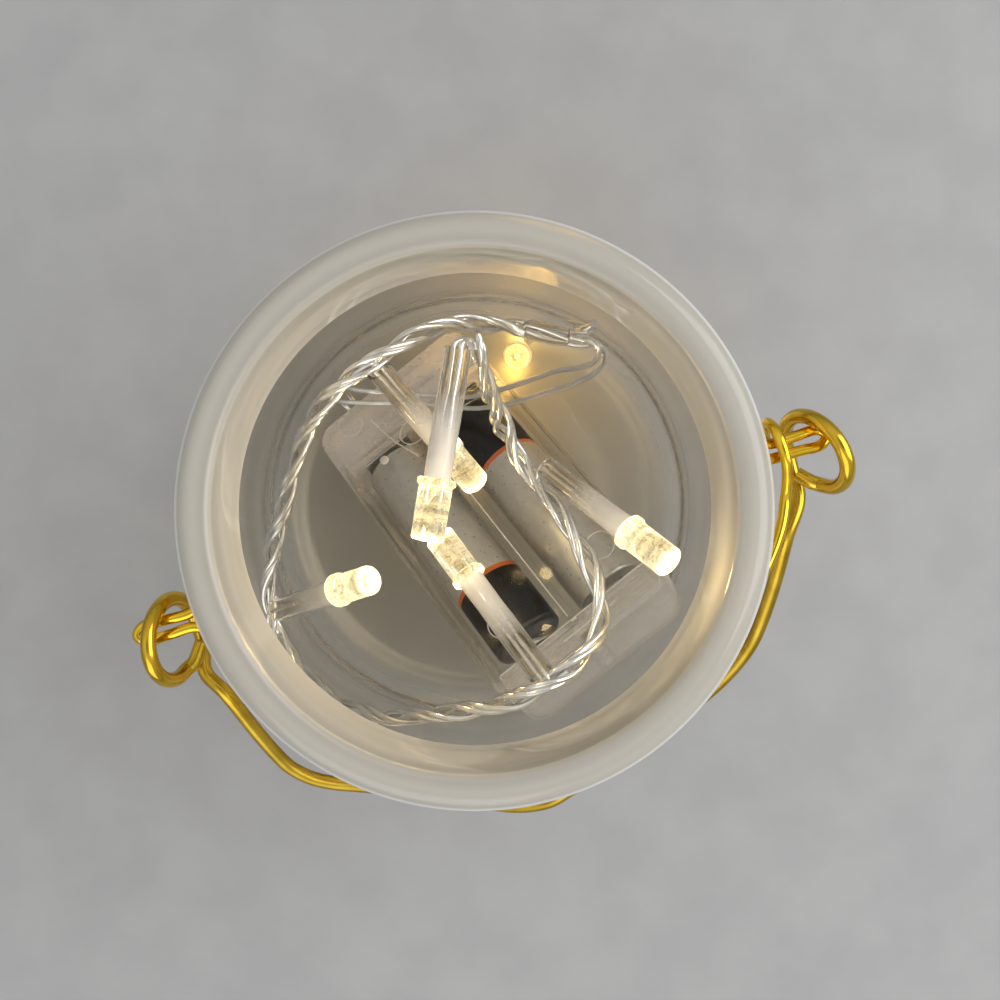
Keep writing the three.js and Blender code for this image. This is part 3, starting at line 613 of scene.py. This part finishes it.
def gold(name, bright, dark, roughness, specks):
    """Gold-coloured metal, duller and darker low down, the darkening partly wear and partly painted shade.
    Specks is how much of it carries dark marks.
    """
    finish, tree, shader = new_finish(name, {"Metallic": 1.0})
    worn_and_shaded = part_way(tree, own_height(tree), CLEAN_ABOVE, WORN_AND_SHADED_BELOW)
    tone = ramp(tree, noise(tree, 260, 3), (0.3, dark), (0.7, bright))
    # Low down the colour is darkened, partly for wear and partly as painted shade from the jar.
    tone = blended(tree, tone, (0.74, 0.76, 0.95, 1), worn_and_shaded, kind="MULTIPLY")
    marks = ramp(tree, noise(tree, 1900, 2), (specks, 0.0), (specks + 0.07, 1.0))
    feed(tree, shader, Base_Color=blended(tree, (0.10, 0.06, 0.015, 1), tone, marks),
         Roughness=maths(tree, "ADD", maths(tree, "MULTIPLY", worn_and_shaded, 0.18), ramp(
             tree, noise(tree, 300, 2), (0.3, roughness), (0.75, roughness + 0.08))))
    bumped(tree, shader, noise(tree, 500, 2, stretch=(1, 1, 3)), 0.05, 0.12)
    return finish


ring_finish = gold("bright_gold", (0.9, 0.61, 0.05), (0.72, 0.45, 0.025), 0.08, 0.14)
bail_finish = gold("worn_gold", (0.76, 0.5, 0.05), (0.56, 0.35, 0.025), 0.13, 0.2)
print(ring_finish.name, bail_finish.name)

# %% Neck ring
RING_RADIUS, RING_Z, RING_WIRE, EAR_Y, EAR_HALF = 42.45, 90.05, 1.68, -4, 1.15
BAIL_HALF, BAIL_HANG = 1.2, math.radians(30)
BAIL_REACH = (JAR_RADIUS + BAIL_HALF + GAP + EAR_Y) / math.cos(BAIL_HANG)
ear_left, ear_right = BAIL_REACH + 1.3, BAIL_REACH + 1.4
ear_root, ear_bend, hook = RING_RADIUS + 2.7, RING_RADIUS + 0.7, RING_RADIUS + 3.8
ear_middle = (ear_root + ear_right) / 2
near, far = EAR_Y - EAR_HALF, EAR_Y + EAR_HALF
ring_points = [
    *((x, y, 0) for x, y in (
        (ear_root - 0.4, near), (ear_middle, near), (ear_right - EAR_HALF, near), (ear_right, EAR_Y),
        (ear_right - EAR_HALF, far), (ear_middle, far), (ear_root, far), (ear_bend, far + 1.3),
        *arc(0, 0, RING_RADIUS, RING_RADIUS, 4, 176, 14), (-ear_bend, far + 1.3), (-ear_root, far),
        (-ear_middle, far), (EAR_HALF - ear_left, far), (-ear_left, EAR_Y), (EAR_HALF - ear_left, near),
        (-ear_middle, near), (-ear_root, near), (-ear_bend, near - 1.3),
        *arc(0, 0, RING_RADIUS, RING_RADIUS, 194, 316, 10))),
    *((hook + x, EAR_Y + y, z) for x, y, z in (
        (-7, -17, 0), (-2.9, -11.5, 0), (-0.9, -7, 0.3), (-0.2, -4.4, 1.5), (0, -2.2, 2.7), (0, 0, 3.1),
        (-0.1, 2.8, 2.2), (-0.3, 4.2, -0.4), (-0.5, 2.9, -2.9), (-0.7, 0.5, -3.8))),
]
ring_line = smooth([Vector(p) + Vector((0, 0, RING_Z)) for p in ring_points], 8)
neck_wire = wire("neck_wire", [ring_line], RING_WIRE, ring_finish, 18)
set_in(neck_wire, "jar_body", "neck_ring", slot="gold_wire")
print("ring wire", round(length_of(ring_line)), "mm")


# %% Bail
BAIL_WIRE, EYE_RADIUS, EYE_LEAN, EYE_FRONT = 2.31, 5.9, 0.42, -2.3


def bail_end(side, arm_in, arm_out, tail, tail_front=0.55):
    """One end of the bail: the arm, the eye that hangs on an ear, and the end that closes the eye."""
    x, radius = BAIL_REACH - arm_in, EYE_RADIUS
    loop = [(x + EYE_LEAN * (z + radius), front, z) for front, z in arc(0, 0, radius, radius, -90, -360, 9)]
    points = [(x + arm_out, 9, -0.4 * radius), (x, 4.8, -0.82 * radius), *loop,
              (x + (EYE_LEAN * radius + tail) / 2 + 0.4, 0.93 * radius, -0.1 * radius),
              (x + tail, tail_front * radius, -0.35 * radius)]
    return [(side * out, EYE_FRONT - front, up) for out, front, up in points]


bail_bends = [
    (-162, -4.7), (-153, -3.2), (-146, -1.3), (-141.5, 0), (-137, 0.4), (-133, 0), (-126, -1.2),
    (-119, -1.1), (-110, 0.2), (-103, 1.8), (-97, 3.6), (-92, 4), (-87, 2.4), (-79, 0.8), (-68, -0.3),
    (-59, -1.2), (-53, -1), (-47, -1), (-42, -1.4), (-37, -2.3), (-31, -3.2), (-25, -3.8), (-19, -4)]
bail_arch = []
for turn, out in bail_bends:
    turn = math.radians(turn)
    bail_arch.append(((BAIL_REACH + out) * math.cos(turn), (BAIL_REACH + out) * math.sin(turn), 0))
bail_points = [*bail_end(-1, 5.8, 1, -0.7)[::-1], *bail_arch, *bail_end(1, 3.1, -0.3, -0.2, 0.72)]
bail_place = Matrix.Translation((0, EAR_Y, RING_Z)) @ Matrix.Rotation(BAIL_HANG, 4, "X")
bail_line = [bail_place @ p for p in smooth(bail_points, 8)]
bail_wire = wire("bail_wire", [bail_line], BAIL_WIRE, bail_finish, 20)
set_in(bail_wire, "bail_body", "bail", slot="gold_wire")
print("bail wire", round(length_of(bail_line)), "mm")

# %% [markdown]
# ## Clear battery box
# Tray and cover are moulded in clear plastic. The solids already have every wall, rib and pocket, so
# copies of them are merged and get small rounded edges, which catch the light as moulded edges do. The
# faces carry fine scuffs, and the round marks of the pins that push the part out of its mould. The ends
# of the box look milky, so one finish clouds over along the box. A second, pale finish is for the side
# walls: partly the haze of the plastic, partly painted light for the bright band that a clear wall shows
# when seen along its length.

# %% Clear plastic
plastic_finish, tree, shader = new_finish("clear_box", {
    "IOR": 1.14, "Coat Weight": 0.22, "Coat Roughness": 0.06})
box_axis = box_place.to_3x3() @ Vector((1, 0, 0))
box_start = box_place.translation.dot(box_axis)
along = put(tree, "ShaderNodeVectorMath", {
    0: own_place(tree), 1: box_axis}, operation="DOT_PRODUCT")["Value"]
level = part_way(tree, along, box_start * MM, (box_start + BOX_LENGTH) * MM)
milky = ramp(tree, level, (0.13, 1.0), (0.19, 0.0), (0.915, 0.0), (0.935, 0.45))
scuffs = ramp(tree, noise(tree, 140, 6, stretch=(1, 2.5, 1)), (0.42, 0.02), (0.72, 0.14))
feed(tree, shader, Transmission_Weight=ramp(tree, milky, (0.0, 1.0), (1.0, 0.68)),
     Base_Color=ramp(tree, milky, (0.0, (0.97, 0.96, 0.93)), (1.0, (0.8, 0.765, 0.73))),
     Roughness=maths(tree, "ADD", scuffs, maths(tree, "MULTIPLY", milky, 0.22)))
bumped(tree, shader, noise(tree, 70, 2), 0.15, 0.1)
lets_light_in(tree, shader, (0.93, 0.92, 0.89, 1))
# Pale finish for the side walls: partly haze of the plastic, partly painted light for the bright band a
# clear wall shows seen along its length.
wall_finish, tree, shader = new_finish("milky_box_wall", {
    "IOR": 1.14, "Coat Weight": 0.5, "Coat Roughness": 0.06})
cloud = noise(tree, 90, 3)
feed(tree, shader, Base_Color=ramp(tree, cloud, (0.3, (0.86, 0.8, 0.74)), (0.7, (0.93, 0.88, 0.83))),
     Transmission_Weight=ramp(tree, cloud, (0.3, 0.68), (0.7, 0.54)),
     Roughness=ramp(tree, cloud, (0.3, 0.1), (0.7, 0.3)))
lets_light_in(tree, shader, (0.88, 0.86, 0.82, 1))
print(plastic_finish.name, wall_finish.name)


# %% Copies of solids with rounded edges
MOULDED_CREASE, SIDE_WALL, LOW_WALL = 35, 17.2, 1.8


def softened(node, name, finish, width, segments=2):
    """A merged copy of a solid with its edges rounded."""
    bm = bmesh.new()
    bm.from_mesh(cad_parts[node].data)
    bmesh.ops.remove_doubles(bm, verts=bm.verts, dist=1e-6)
    bmesh.ops.dissolve_limit(bm, angle_limit=math.radians(1), verts=bm.verts, edges=bm.edges)
    mesh = bpy.data.meshes.new(name)
    bm.to_mesh(mesh)
    piece = placed(name, mesh)
    bevel = piece.modifiers.new("edges", "BEVEL")
    bevel.width, bevel.segments, bevel.limit_method = width * MM, segments, "ANGLE"
    bevel.angle_limit = math.radians(MOULDED_CREASE)
    made_plain(piece)
    surfaced(piece.data, finish, MOULDED_CREASE)
    return piece


face_up = box_place.to_3x3() @ Vector((0, 0, 1))
for node, name in (("box_tray", "tray"), ("box_cover", "cover")):
    piece = softened(node, name, plastic_finish, 0.35, 3)
    piece.data.materials.append(wall_finish)
    for face in piece.data.polygons:
        x, y, _ = box_place.inverted() @ (face.center / MM)
        # Outer walls get the pale finish, whose paleness is partly painted light.
        outside = abs(y) > SIDE_WALL or x < LOW_WALL
        face.material_index = 1 if outside and abs(face.normal.dot(face_up)) < 0.5 else 0
    set_in(piece, "jar_body", node, slot="clear_plastic")

# %% Geometry tree: round moulding marks on a face
mark_tree, given = new_tree("moulding_marks", Ring_radius="Float", Ridge="Float", Finish="Material")
ring_path = put(mark_tree, "GeometryNodeCurvePrimitiveCircle", {
    "Resolution": 40, "Radius": given["Ring radius"]})["Curve"]
ridge = put(mark_tree, "GeometryNodeCurvePrimitiveCircle", {
    "Resolution": 8, "Radius": given["Ridge"]})["Curve"]
ring_shape = put(mark_tree, "GeometryNodeCurveToMesh", {"Curve": ring_path, "Profile Curve": ridge})[0]
ring_shape = put(mark_tree, "GeometryNodeSetShadeSmooth", {0: ring_shape})[0]
rings = put(mark_tree, "GeometryNodeInstanceOnPoints", {
    "Points": given["Geometry"], "Instance": ring_shape})[0]
rings = put(mark_tree, "GeometryNodeRealizeInstances", {0: rings})[0]
put(mark_tree, "NodeGroupOutput", {0: put(mark_tree, "GeometryNodeSetMaterial", {
    "Geometry": rings, "Material": given["Finish"]})[0]})
print("moulding_marks:", len(mark_tree.nodes), "nodes")

# %% Moulding marks on the closed face of the box
MARK_RADIUS, MARK_RIDGE, MARK_SINK = 2.7, 0.12, 0.08
ridge_finish, tree, shader = new_finish("pale_ridge", {
    "IOR": 1.3, "Transmission Weight": 0.55, "Roughness": 0.15})
feed(tree, shader, Base_Color=ramp(tree, noise(tree, 200), (0.3, (0.84, 0.8, 0.74)),
                                   (0.7, (0.97, 0.94, 0.9))))
mark_places = [(3.2, -11.4), (14.3, -2.2), (59.9, 12.3), (60.0, -11.0), (6.5, 11.5)]
mark_mesh = bpy.data.meshes.new("marks")
mark_mesh.from_pydata([Vector((x, y, BOX_HEIGHT - MARK_SINK)) * MM for x, y in mark_places], [], [])
marks = grown("marks", mark_mesh, mark_tree, Ring_radius=MARK_RADIUS * MM, Ridge=MARK_RIDGE * MM,
              Finish=ridge_finish)
marks.data.transform(Matrix.Translation(box_place.translation * MM) @ box_place.to_3x3().to_4x4())
set_in(marks, "jar_body", slot="clear_plastic")

# %% Ridges over the divider and the partitions, and a small pip
RIDGE_WIDTH, RIDGE_SINK = 0.34, 0.06
ridge_routes = [[(12, -0.6), (40, -0.6), (67, -0.6)], [(67.9, -16.8), (67.9, 0), (67.9, 16.8)],
                [(70.3, -4), (70.3, 8)], [(5.4, -7.5), (12.5, -6.4), (19.9, -4.1)]]
ridge_lines = []
for route in ridge_routes:
    line = smooth([(x, y, BOX_HEIGHT - RIDGE_SINK) for x, y in route], 6)
    ridge_lines.append([box_place @ p for p in line])
ridges = wire("ridges", ridge_lines, RIDGE_WIDTH, ridge_finish, 10)
set_in(ridges, "jar_body", slot="clear_plastic")
pip = turned("pip", [(0, -0.1), (1.0, -0.1), (0.95, 0.1), (0.7, 0.3), (0.3, 0.4), (0, 0.42)],
             box_place @ Matrix.Translation((15.4, -10.2, BOX_HEIGHT)), 24, ridge_finish)
set_in(pip, "jar_body", slot="clear_plastic")

# %% [markdown]
# ## Cells
# Two common cells lie head to tail. Each has a thin jacket, shrunk over the rims at both ends, a flat end
# and a cap. The jacket is dull silver with a dark band at the flat end and a thin orange line beside it.
# Painted bands would need an unwrapped picture, so they read the height attribute of the turned shape.

# %% Cell finish
cell_finish, tree, shader = new_finish("foil_jacket", {"Specular IOR Level": 0.15})
level = part_way(tree, turned_height(tree), 0.0, 51.0)
band = ramp(tree, level, (0.0, (0.07, 0.065, 0.06)), (0.012, (0.006, 0.0055, 0.005)),
            (0.265, (0.6, 0.15, 0.04)), (0.285, (0.56, 0.55, 0.53)), (0.955, 0.6),
            (0.968, (0.75, 0.74, 0.72)), blend="CONSTANT")
worn = ramp(tree, noise(tree, 500, 5), (0.3, 0.86), (0.7, 1.0))
feed(tree, shader, Base_Color=blended(tree, band, worn, kind="MULTIPLY"),
     Metallic=ramp(tree, level, (0.0, 0.9), (0.012, 0.0), (0.285, 0.55), (0.955, 0.95), blend="CONSTANT"),
     Roughness=ramp(tree, noise(tree, 900, 3), (0.3, 0.26), (0.7, 0.4)))
print(cell_finish.name)

# %% Cells
cell_profile = [
    (0, 0.35), (4.6, 0.35), (5.1, 0.1), (6.0, 0), *arc(6.4, 0.7, 0.7, 0.7, -90, 0, 5), (7.0, 1.2),
    (7.1, 1.6), (7.1, 47.9), (7.0, 48.3), *arc(6.45, 48.6, 0.6, 0.55, 0, 90, 5), (5.9, 49.0), (5.6, 48.7),
    (3.1, 48.7), (2.75, 48.9), *arc(2.35, 50.1, 0.4, 0.4, 0, 90, 4), (0, 50.5),
]
cell_turn = Matrix.Rotation(math.radians(90), 4, "Y")


def bay(number, x):
    """A place on the axis of a cell. The second bay runs the other way."""
    if number == 1:
        place = Matrix.Translation((x, CELL_SIDE, CELL_HEIGHT))
    else:
        place = Matrix.Translation((x, -CELL_SIDE, CELL_HEIGHT)) @ Matrix.Rotation(math.pi, 4, "Z")
    return box_place @ place


for number, x in ((1, 15.95), (2, 62.75)):
    cell = turned(f"cell_{number}_body", cell_profile, bay(number, x) @ cell_turn, 64, cell_finish)
    set_in(cell, "jar_body", f"cell_{number}", slot="cell_jacket")

# %% [markdown]
# ## Metal and board inside the box
# Contacts are stamped from plated sheet, the springs wound from thin plated wire, the switch sits in a
# folded steel can, and a small pale board carries the switch. Sheet has faint rolling lines, so its
# noise is squeezed along one axis.

# %% Metal, black plastic and board finishes
steel_finish, tree, shader = new_finish("plated_steel", {"Metallic": 1.0})
lines = noise(tree, 350, 4, stretch=(1, 1, 12))
feed(tree, shader, Base_Color=ramp(tree, lines, (0.3, (0.58, 0.58, 0.58)), (0.7, (0.78, 0.78, 0.77))),
     Roughness=ramp(tree, lines, (0.25, 0.2), (0.75, 0.38)))
black_finish, tree, shader = new_finish("black_slider", {"Specular IOR Level": 0.4})
grain = noise(tree, 1800, 3)
feed(tree, shader, Base_Color=ramp(tree, grain, (0.3, (0.012, 0.012, 0.013)), (0.7, (0.035, 0.035, 0.037))),
     Roughness=ramp(tree, grain, (0.3, 0.38), (0.7, 0.55)))
bumped(tree, shader, grain, 0.03, 0.4)
board_finish, tree, shader = new_finish("pale_board", {"Coat Weight": 0.6, "Coat Roughness": 0.12})
weave = put(tree, "ShaderNodeTexChecker", {
    "Vector": own_place(tree), "Scale": 2200.0,
    "Color1": (0.6, 0.55, 0.45, 1), "Color2": (0.68, 0.63, 0.53, 1)})["Color"]
feed(tree, shader, Base_Color=weave, Roughness=ramp(tree, noise(tree, 400), (0.3, 0.35), (0.7, 0.5)))
print("steel, black plastic and board")

# %% Contacts, switch, board and slider
for node, name, finish, width, body, slot in (
        ("negative_contact", "spring_contact", steel_finish, 0.1, "jar_body", "steel"),
        ("positive_contact", "cap_contact", steel_finish, 0.1, "jar_body", "steel"),
        ("series_link", "link_plate", steel_finish, 0.1, "jar_body", "steel"),
        ("switch_body", "switch_can", steel_finish, 0.4, "jar_body", "steel"),
        ("control_board", "board", board_finish, 0.08, "jar_body", "board"),
        ("switch_slider", "slider", black_finish, 0.2, "slider_body", "black_plastic")):
    set_in(softened(node, name, finish, width), body, node, slot=slot)

# %% Springs
SPRING_WIDE, SPRING_NARROW, SPRING_LENGTH, SPRING_LIFT, SPRING_WIRE = 4.9, 2.2, 3.4, 0.72, 0.6
STEPS, STEPS_A_TURN = 60, 24
curl = [(SPRING_WIDE + (SPRING_NARROW - SPRING_WIDE) * i / STEPS, 2 * math.pi * i / STEPS_A_TURN,
         SPRING_LIFT + (SPRING_LENGTH - 2 * SPRING_LIFT) * i / STEPS) for i in range(STEPS + 1)]
spring_points = [(x, r * math.cos(a), r * math.sin(a)) for r, a, x in curl]
spring_points = [(0, *spring_points[0][1:]), *spring_points, (SPRING_LENGTH, *spring_points[-1][1:])]
for number, x in ((1, 12.25), (2, 66.45)):
    line = [bay(number, x) @ p for p in smooth(spring_points, 2)]
    spring = wire(f"cone_spring_{number}", [line], SPRING_WIRE, steel_finish, 10)
    set_in(spring, "jar_body", f"spring_{number}", slot="steel")

# %% Bush and screw
bush_profile = [(0, -0.8), (1.5, -0.8), (1.9, -0.5), (1.9, 1.9), (2.6, 1.9), (2.9, 2.1), (2.9, 2.7),
                (2.6, 2.9), (0, 2.9)]
bush = turned("bush", bush_profile, box_place @ Matrix.Translation((0, -9, CELL_HEIGHT)) @ cell_turn, 32,
              plastic_finish)
set_in(bush, "jar_body", "lead_bush", slot="clear_plastic")
screw_profile = [(0, -1.0), (0.5, -1.05), (0.9, -1.5), (1.5, -1.5), (2.0, -1.15), (2.1, -0.8), (2.1, -0.35),
                 (2.0, -0.3), (0.9, -0.3), *((0.9 - 0.14 * (i % 2), 0.6 + 0.4 * i) for i in range(19)),
                 (0.8, 8.3), (0, 9)]
screw = turned("screw", screw_profile, box_place @ Matrix.Translation((70.525, 0, 0)), 32, steel_finish)
set_in(screw, "jar_body", "cover_screw", slot="steel")

# %% [markdown]
# ## Splice
# Where the leads meet the string, the joints are covered with a short piece of clear shrink sleeve. It
# draws in at both ends and shows the bundle of wires under it as soft ridges.

# %% Sleeve finish and splice
sleeve_finish, tree, shader = new_finish("clear_sleeve", {
    "IOR": 1.18, "Emission Strength": 0.14, "Coat Weight": 0.6, "Coat Roughness": 0.04})
level = part_way(tree, turned_height(tree), 0.0, 20.0)
clearness = ramp(tree, level, (0.32, 1.0), (0.6, 0.72), (0.9, 0.6))
# Towards the lamp end the sleeve glows warm, though it is no lamp: painted lamp light.
feed(tree, shader, Transmission_Weight=clearness,
     Base_Color=ramp(tree, noise(tree, 300, 3), (0.3, (0.86, 0.81, 0.72)), (0.7, (0.92, 0.88, 0.8))),
     Emission_Color=ramp(tree, level, (0.45, 0.0), (0.8, (0.35, 0.28, 0.18)), (0.95, (1.0, 0.82, 0.5))),
     Roughness=ramp(tree, level, (0.3, 0.06), (0.6, 0.25)))
bumped(tree, shader, noise(tree, 700, 2), 0.05, 0.2)
lets_light_in(tree, shader, clearness)


def along_axis(start, axis):
    """A place with its Z along an axis."""
    return Matrix.Translation(start) @ Vector((0, 0, 1)).rotation_difference(axis).to_matrix().to_4x4()


splice_profile = [(0, 0), (1.3, 0), *((1.8 - 0.35 * abs(2 * i / 12 - 1) ** 4, splice_length * i / 12)
                                      for i in range(13)), (1.3, splice_length), (0, splice_length)]
splice = turned("splice", splice_profile, along_axis(splice_from, splice_axis), 36, sleeve_finish,
                ripple=lambda a, h: 0.05 * math.cos(3 * a + 0.5 * h) - 0.05)
set_in(splice, "jar_body", "splice_sleeve", slot="clear_plastic")
joint_line = [splice_from.lerp(splice_to, i / 24) for i in range(25)]
joined_wires = twisted_wire("joined_wires", joint_line, strands=3, width=1.0, spread=0.66, looseness=0.1,
                            lay=22.0)
set_in(joined_wires, "jar_body", slot="wire_jacket")

# %% [markdown]
# ## Lamps
# Each lamp is a small clear body with a flange and a hollow tip, its two legs soldered to the string and
# covered by a clear sleeve. The body glows from inside, most of all at the hollow tip, which throws the
# light sideways. The glow reads the height attribute, so that every lamp glows the same way wherever it
# points. A small point light at each lamp lights what is round it.

# %% Lamp finish
LINE_WIDTH, FACET_DEPTH = 0.024, 2.4


def lamp_look(name, tint, strength):
    """Clear lamp body with a warm glow of the given colour, strongest at the tip."""
    finish, tree, shader = new_finish(name, {
        "IOR": 1.5, "Roughness": 0.04, "Transmission Weight": 1.0, "Emission Strength": strength})
    facets = maths(tree, "MULTIPLY", maths(tree, "SUBTRACT", noise(tree, 700, 3), 0.5), FACET_DEPTH)
    level = part_way(tree, maths(tree, "ADD", turned_height(tree), facets), 0.0, 10.0)
    edges = maths(tree, "ABSOLUTE", maths(tree, "SUBTRACT", noise(tree, 560, 2), 0.5))
    glow = ramp(tree, level, *((place, tuple(light * part for part in tint)) for place, light in (
        (0.0, 0.075), (0.14, 0.06), (0.24, 0.022), (0.36, 0.07), (0.46, 0.022), (0.58, 0.075), (0.7, 0.025),
        (0.82, 0.06), (0.9, 0.24))))
    lines = ramp(tree, edges, (0.0, (0.4, 0.28, 0.08)), (LINE_WIDTH, 1.0))
    feed(tree, shader, Emission_Color=blended(tree, glow, lines, kind="MULTIPLY"),
         Base_Color=ramp(tree, edges, (0.0, (0.55, 0.43, 0.15)), (LINE_WIDTH, (1.0, 0.97, 0.89))))
    lets_light_in(tree, shader, (1.0, 0.97, 0.9, 1))
    return finish


lamp_finish = lamp_look("lit_lamp", (1.0, 0.79, 0.38), 7.0)
low_lamp_finish = lamp_look("lit_lamp_low", (1.0, 0.6, 0.1), 1.7)
print(lamp_finish.name, low_lamp_finish.name)

# %% Places of the lamps
lamp_axes = {2: (0.342, -0.751, -0.565), 3: (0.7, 0.05, 0.71), 5: (-0.338, 0.853, -0.397),
             4: (0.442, -0.655, 0.613), 1: (-0.432, -0.902, 0), 6: (-0.08, -0.13, 0.988)}
SLEEVE_RADIUS, SLEEVE_LENGTH, LOW_LAMP = 2.1, 19, 6
lamp_places, lamp_joints = {}, {}


def hang(number, line, index, diameter):
    """The place of a lamp that stands off its wire."""
    along = (line[min(index + 1, len(line) - 1)] - line[index - 1]).normalized()
    axis = Vector(lamp_axes[number]).normalized()
    off = (axis - axis.dot(along) * along).normalized()
    base = line[index] + off * (diameter / 2 + GAP + SLEEVE_RADIUS * abs(axis.dot(along)))
    lamp_places[number] = along_axis(base, axis)
    lamp_joints[number] = line, index


index = SPAN_STEPS
for number, stretch in zip((2, 3, 5, 4, 1), string_route):
    index += SPAN_STEPS * len(stretch)
    hang(number, string_line, index, STRING_DIAMETER)
hang(LOW_LAMP, branch_line, len(branch_line) - 1, BRANCH_DIAMETER)
print("lamps at", {n: tuple(round(c, 1) for c in p.translation) for n, p in lamp_places.items()})

# %% Lamps, legs and sleeves
lamp_profile = [
    (0, 0), (2.55, 0), (2.85, 0.25), (2.85, 0.95), (2.6, 1.2), (2.5, 1.35), (2.48, 5), (2.46, 8.5),
    *arc(2.0, 8.75, 0.45, 0.45, 0, 90, 5), (1.6, 9.1), (0.8, 8.2), (0, 7.7),
]
sleeve_profile = [
    (2.05, 0.15), (2.1, 0.4), (2.06, 3), (2.1, 8), (2.08, 14), (2.1, 18.9), (2.04, 19.28), (1.65, 19.28),
    (1.62, 14), (1.6, 8), (1.58, 3), (1.62, 0.15),
]
lamp_seat = Matrix.Translation((0, 0, SLEEVE_LENGTH + GAP))
hung = {}
for number, place in lamp_places.items():
    lamp = turned(f"lamp_{number}", lamp_profile, place @ lamp_seat, 40,
                  low_lamp_finish if number == LOW_LAMP else lamp_finish)
    set_in(lamp, "jar_body", f"led_{number}", slot="lamp")
    sleeve = turned(f"clear_sleeve_{number}", sleeve_profile, place, 32, sleeve_finish, closed=True,
                    ripple=lambda a, h: -0.02 - 0.02 * math.cos(2 * a + 0.4 * h))
    set_in(sleeve, "jar_body", f"sleeve_{number}", slot="clear_plastic")
    legs = [smooth([place @ Vector(p) for p in ((side * 0.5, 0.1, 6.5), (side * 0.7, 0.1, 10),
                                                (side * 0.8, 0, 15), (side * 0.8, 0, 22.5))], 8)
            for side in (-1, 1)]
    leg_piece = wire(f"legs_{number}", legs, 0.5, steel_finish, 8)
    set_in(leg_piece, "jar_body", slot="steel")
    hung[number] = [lamp, sleeve, leg_piece]

# %% Light of the lamps
GLOW_SIZE, TIP, IN_SLEEVE = 1.6, SLEEVE_LENGTH + 10.2, 7
for number, place in lamp_places.items():
    power, colour, up = 0.0036, (1.0, 0.73, 0.34), TIP
    if number == LOW_LAMP:
        power, colour, up = 0.028, (1.0, 0.6, 0.09), IN_SLEEVE
    glow = placed(f"glow_{number}", bpy.data.lights.new(f"glow_{number}", "POINT"))
    glow.data.energy, glow.data.color, glow.data.shadow_soft_size = power, colour, GLOW_SIZE * MM
    glow.visible_camera = glow.visible_transmission = False
    glow.location = place @ Vector((0, 0, up)) * MM
print("warm lights at the tips of five lamps and in the sleeve of the low one")

# %% Tails from the string into the sleeves
TAIL_STEPS = 9
for number, place in lamp_places.items():
    line, index = lamp_joints[number]
    last = len(line) - 1
    thin = 0.6 if number == LOW_LAMP else 0.8
    tails = []
    for side in (-1, 1):
        back = index - TAIL_STEPS if side < 0 or index == last else index + TAIL_STEPS
        along = (line[index] - line[back]).normalized()
        inside = [place @ Vector(p) for p in (
            (side * 0.55, 0, -0.6), (side * 0.6, 0.1, 2), (side * 0.5, 0.1, 7))]
        tails.append(smooth([line[back], line[index] - 0.6 * along, *inside], 8))
    tail_piece = wire(f"tails_{number}", tails, thin, wire_finish, 10)
    set_in(tail_piece, "jar_body", slot="wire_jacket")
    hung[number].append(tail_piece)

# %% [markdown]
# ## Free wires
# The leads, the string and its branch hang free in the jar. Each is listed with its length, which
# is measured along its line, and with the pieces that hang on it. The splice hangs on the first
# lead, and the string and the branch start from there.

for piece, line, diameter, lay, pieces in (
        (*leads[0], LEAD_DIAMETER, "loose", [splice, joined_wires]),
        (*leads[1], LEAD_DIAMETER, "loose", []),
        (string, string_line, STRING_DIAMETER, "loose", sum((hung[n] for n in range(1, 6)), [])),
        (branch, branch_line, BRANCH_DIAMETER, "hanging", hung[LOW_LAMP])):
    print(piece.name, round(length_of(line), 1), "mm, with", len(pieces), "pieces on it")
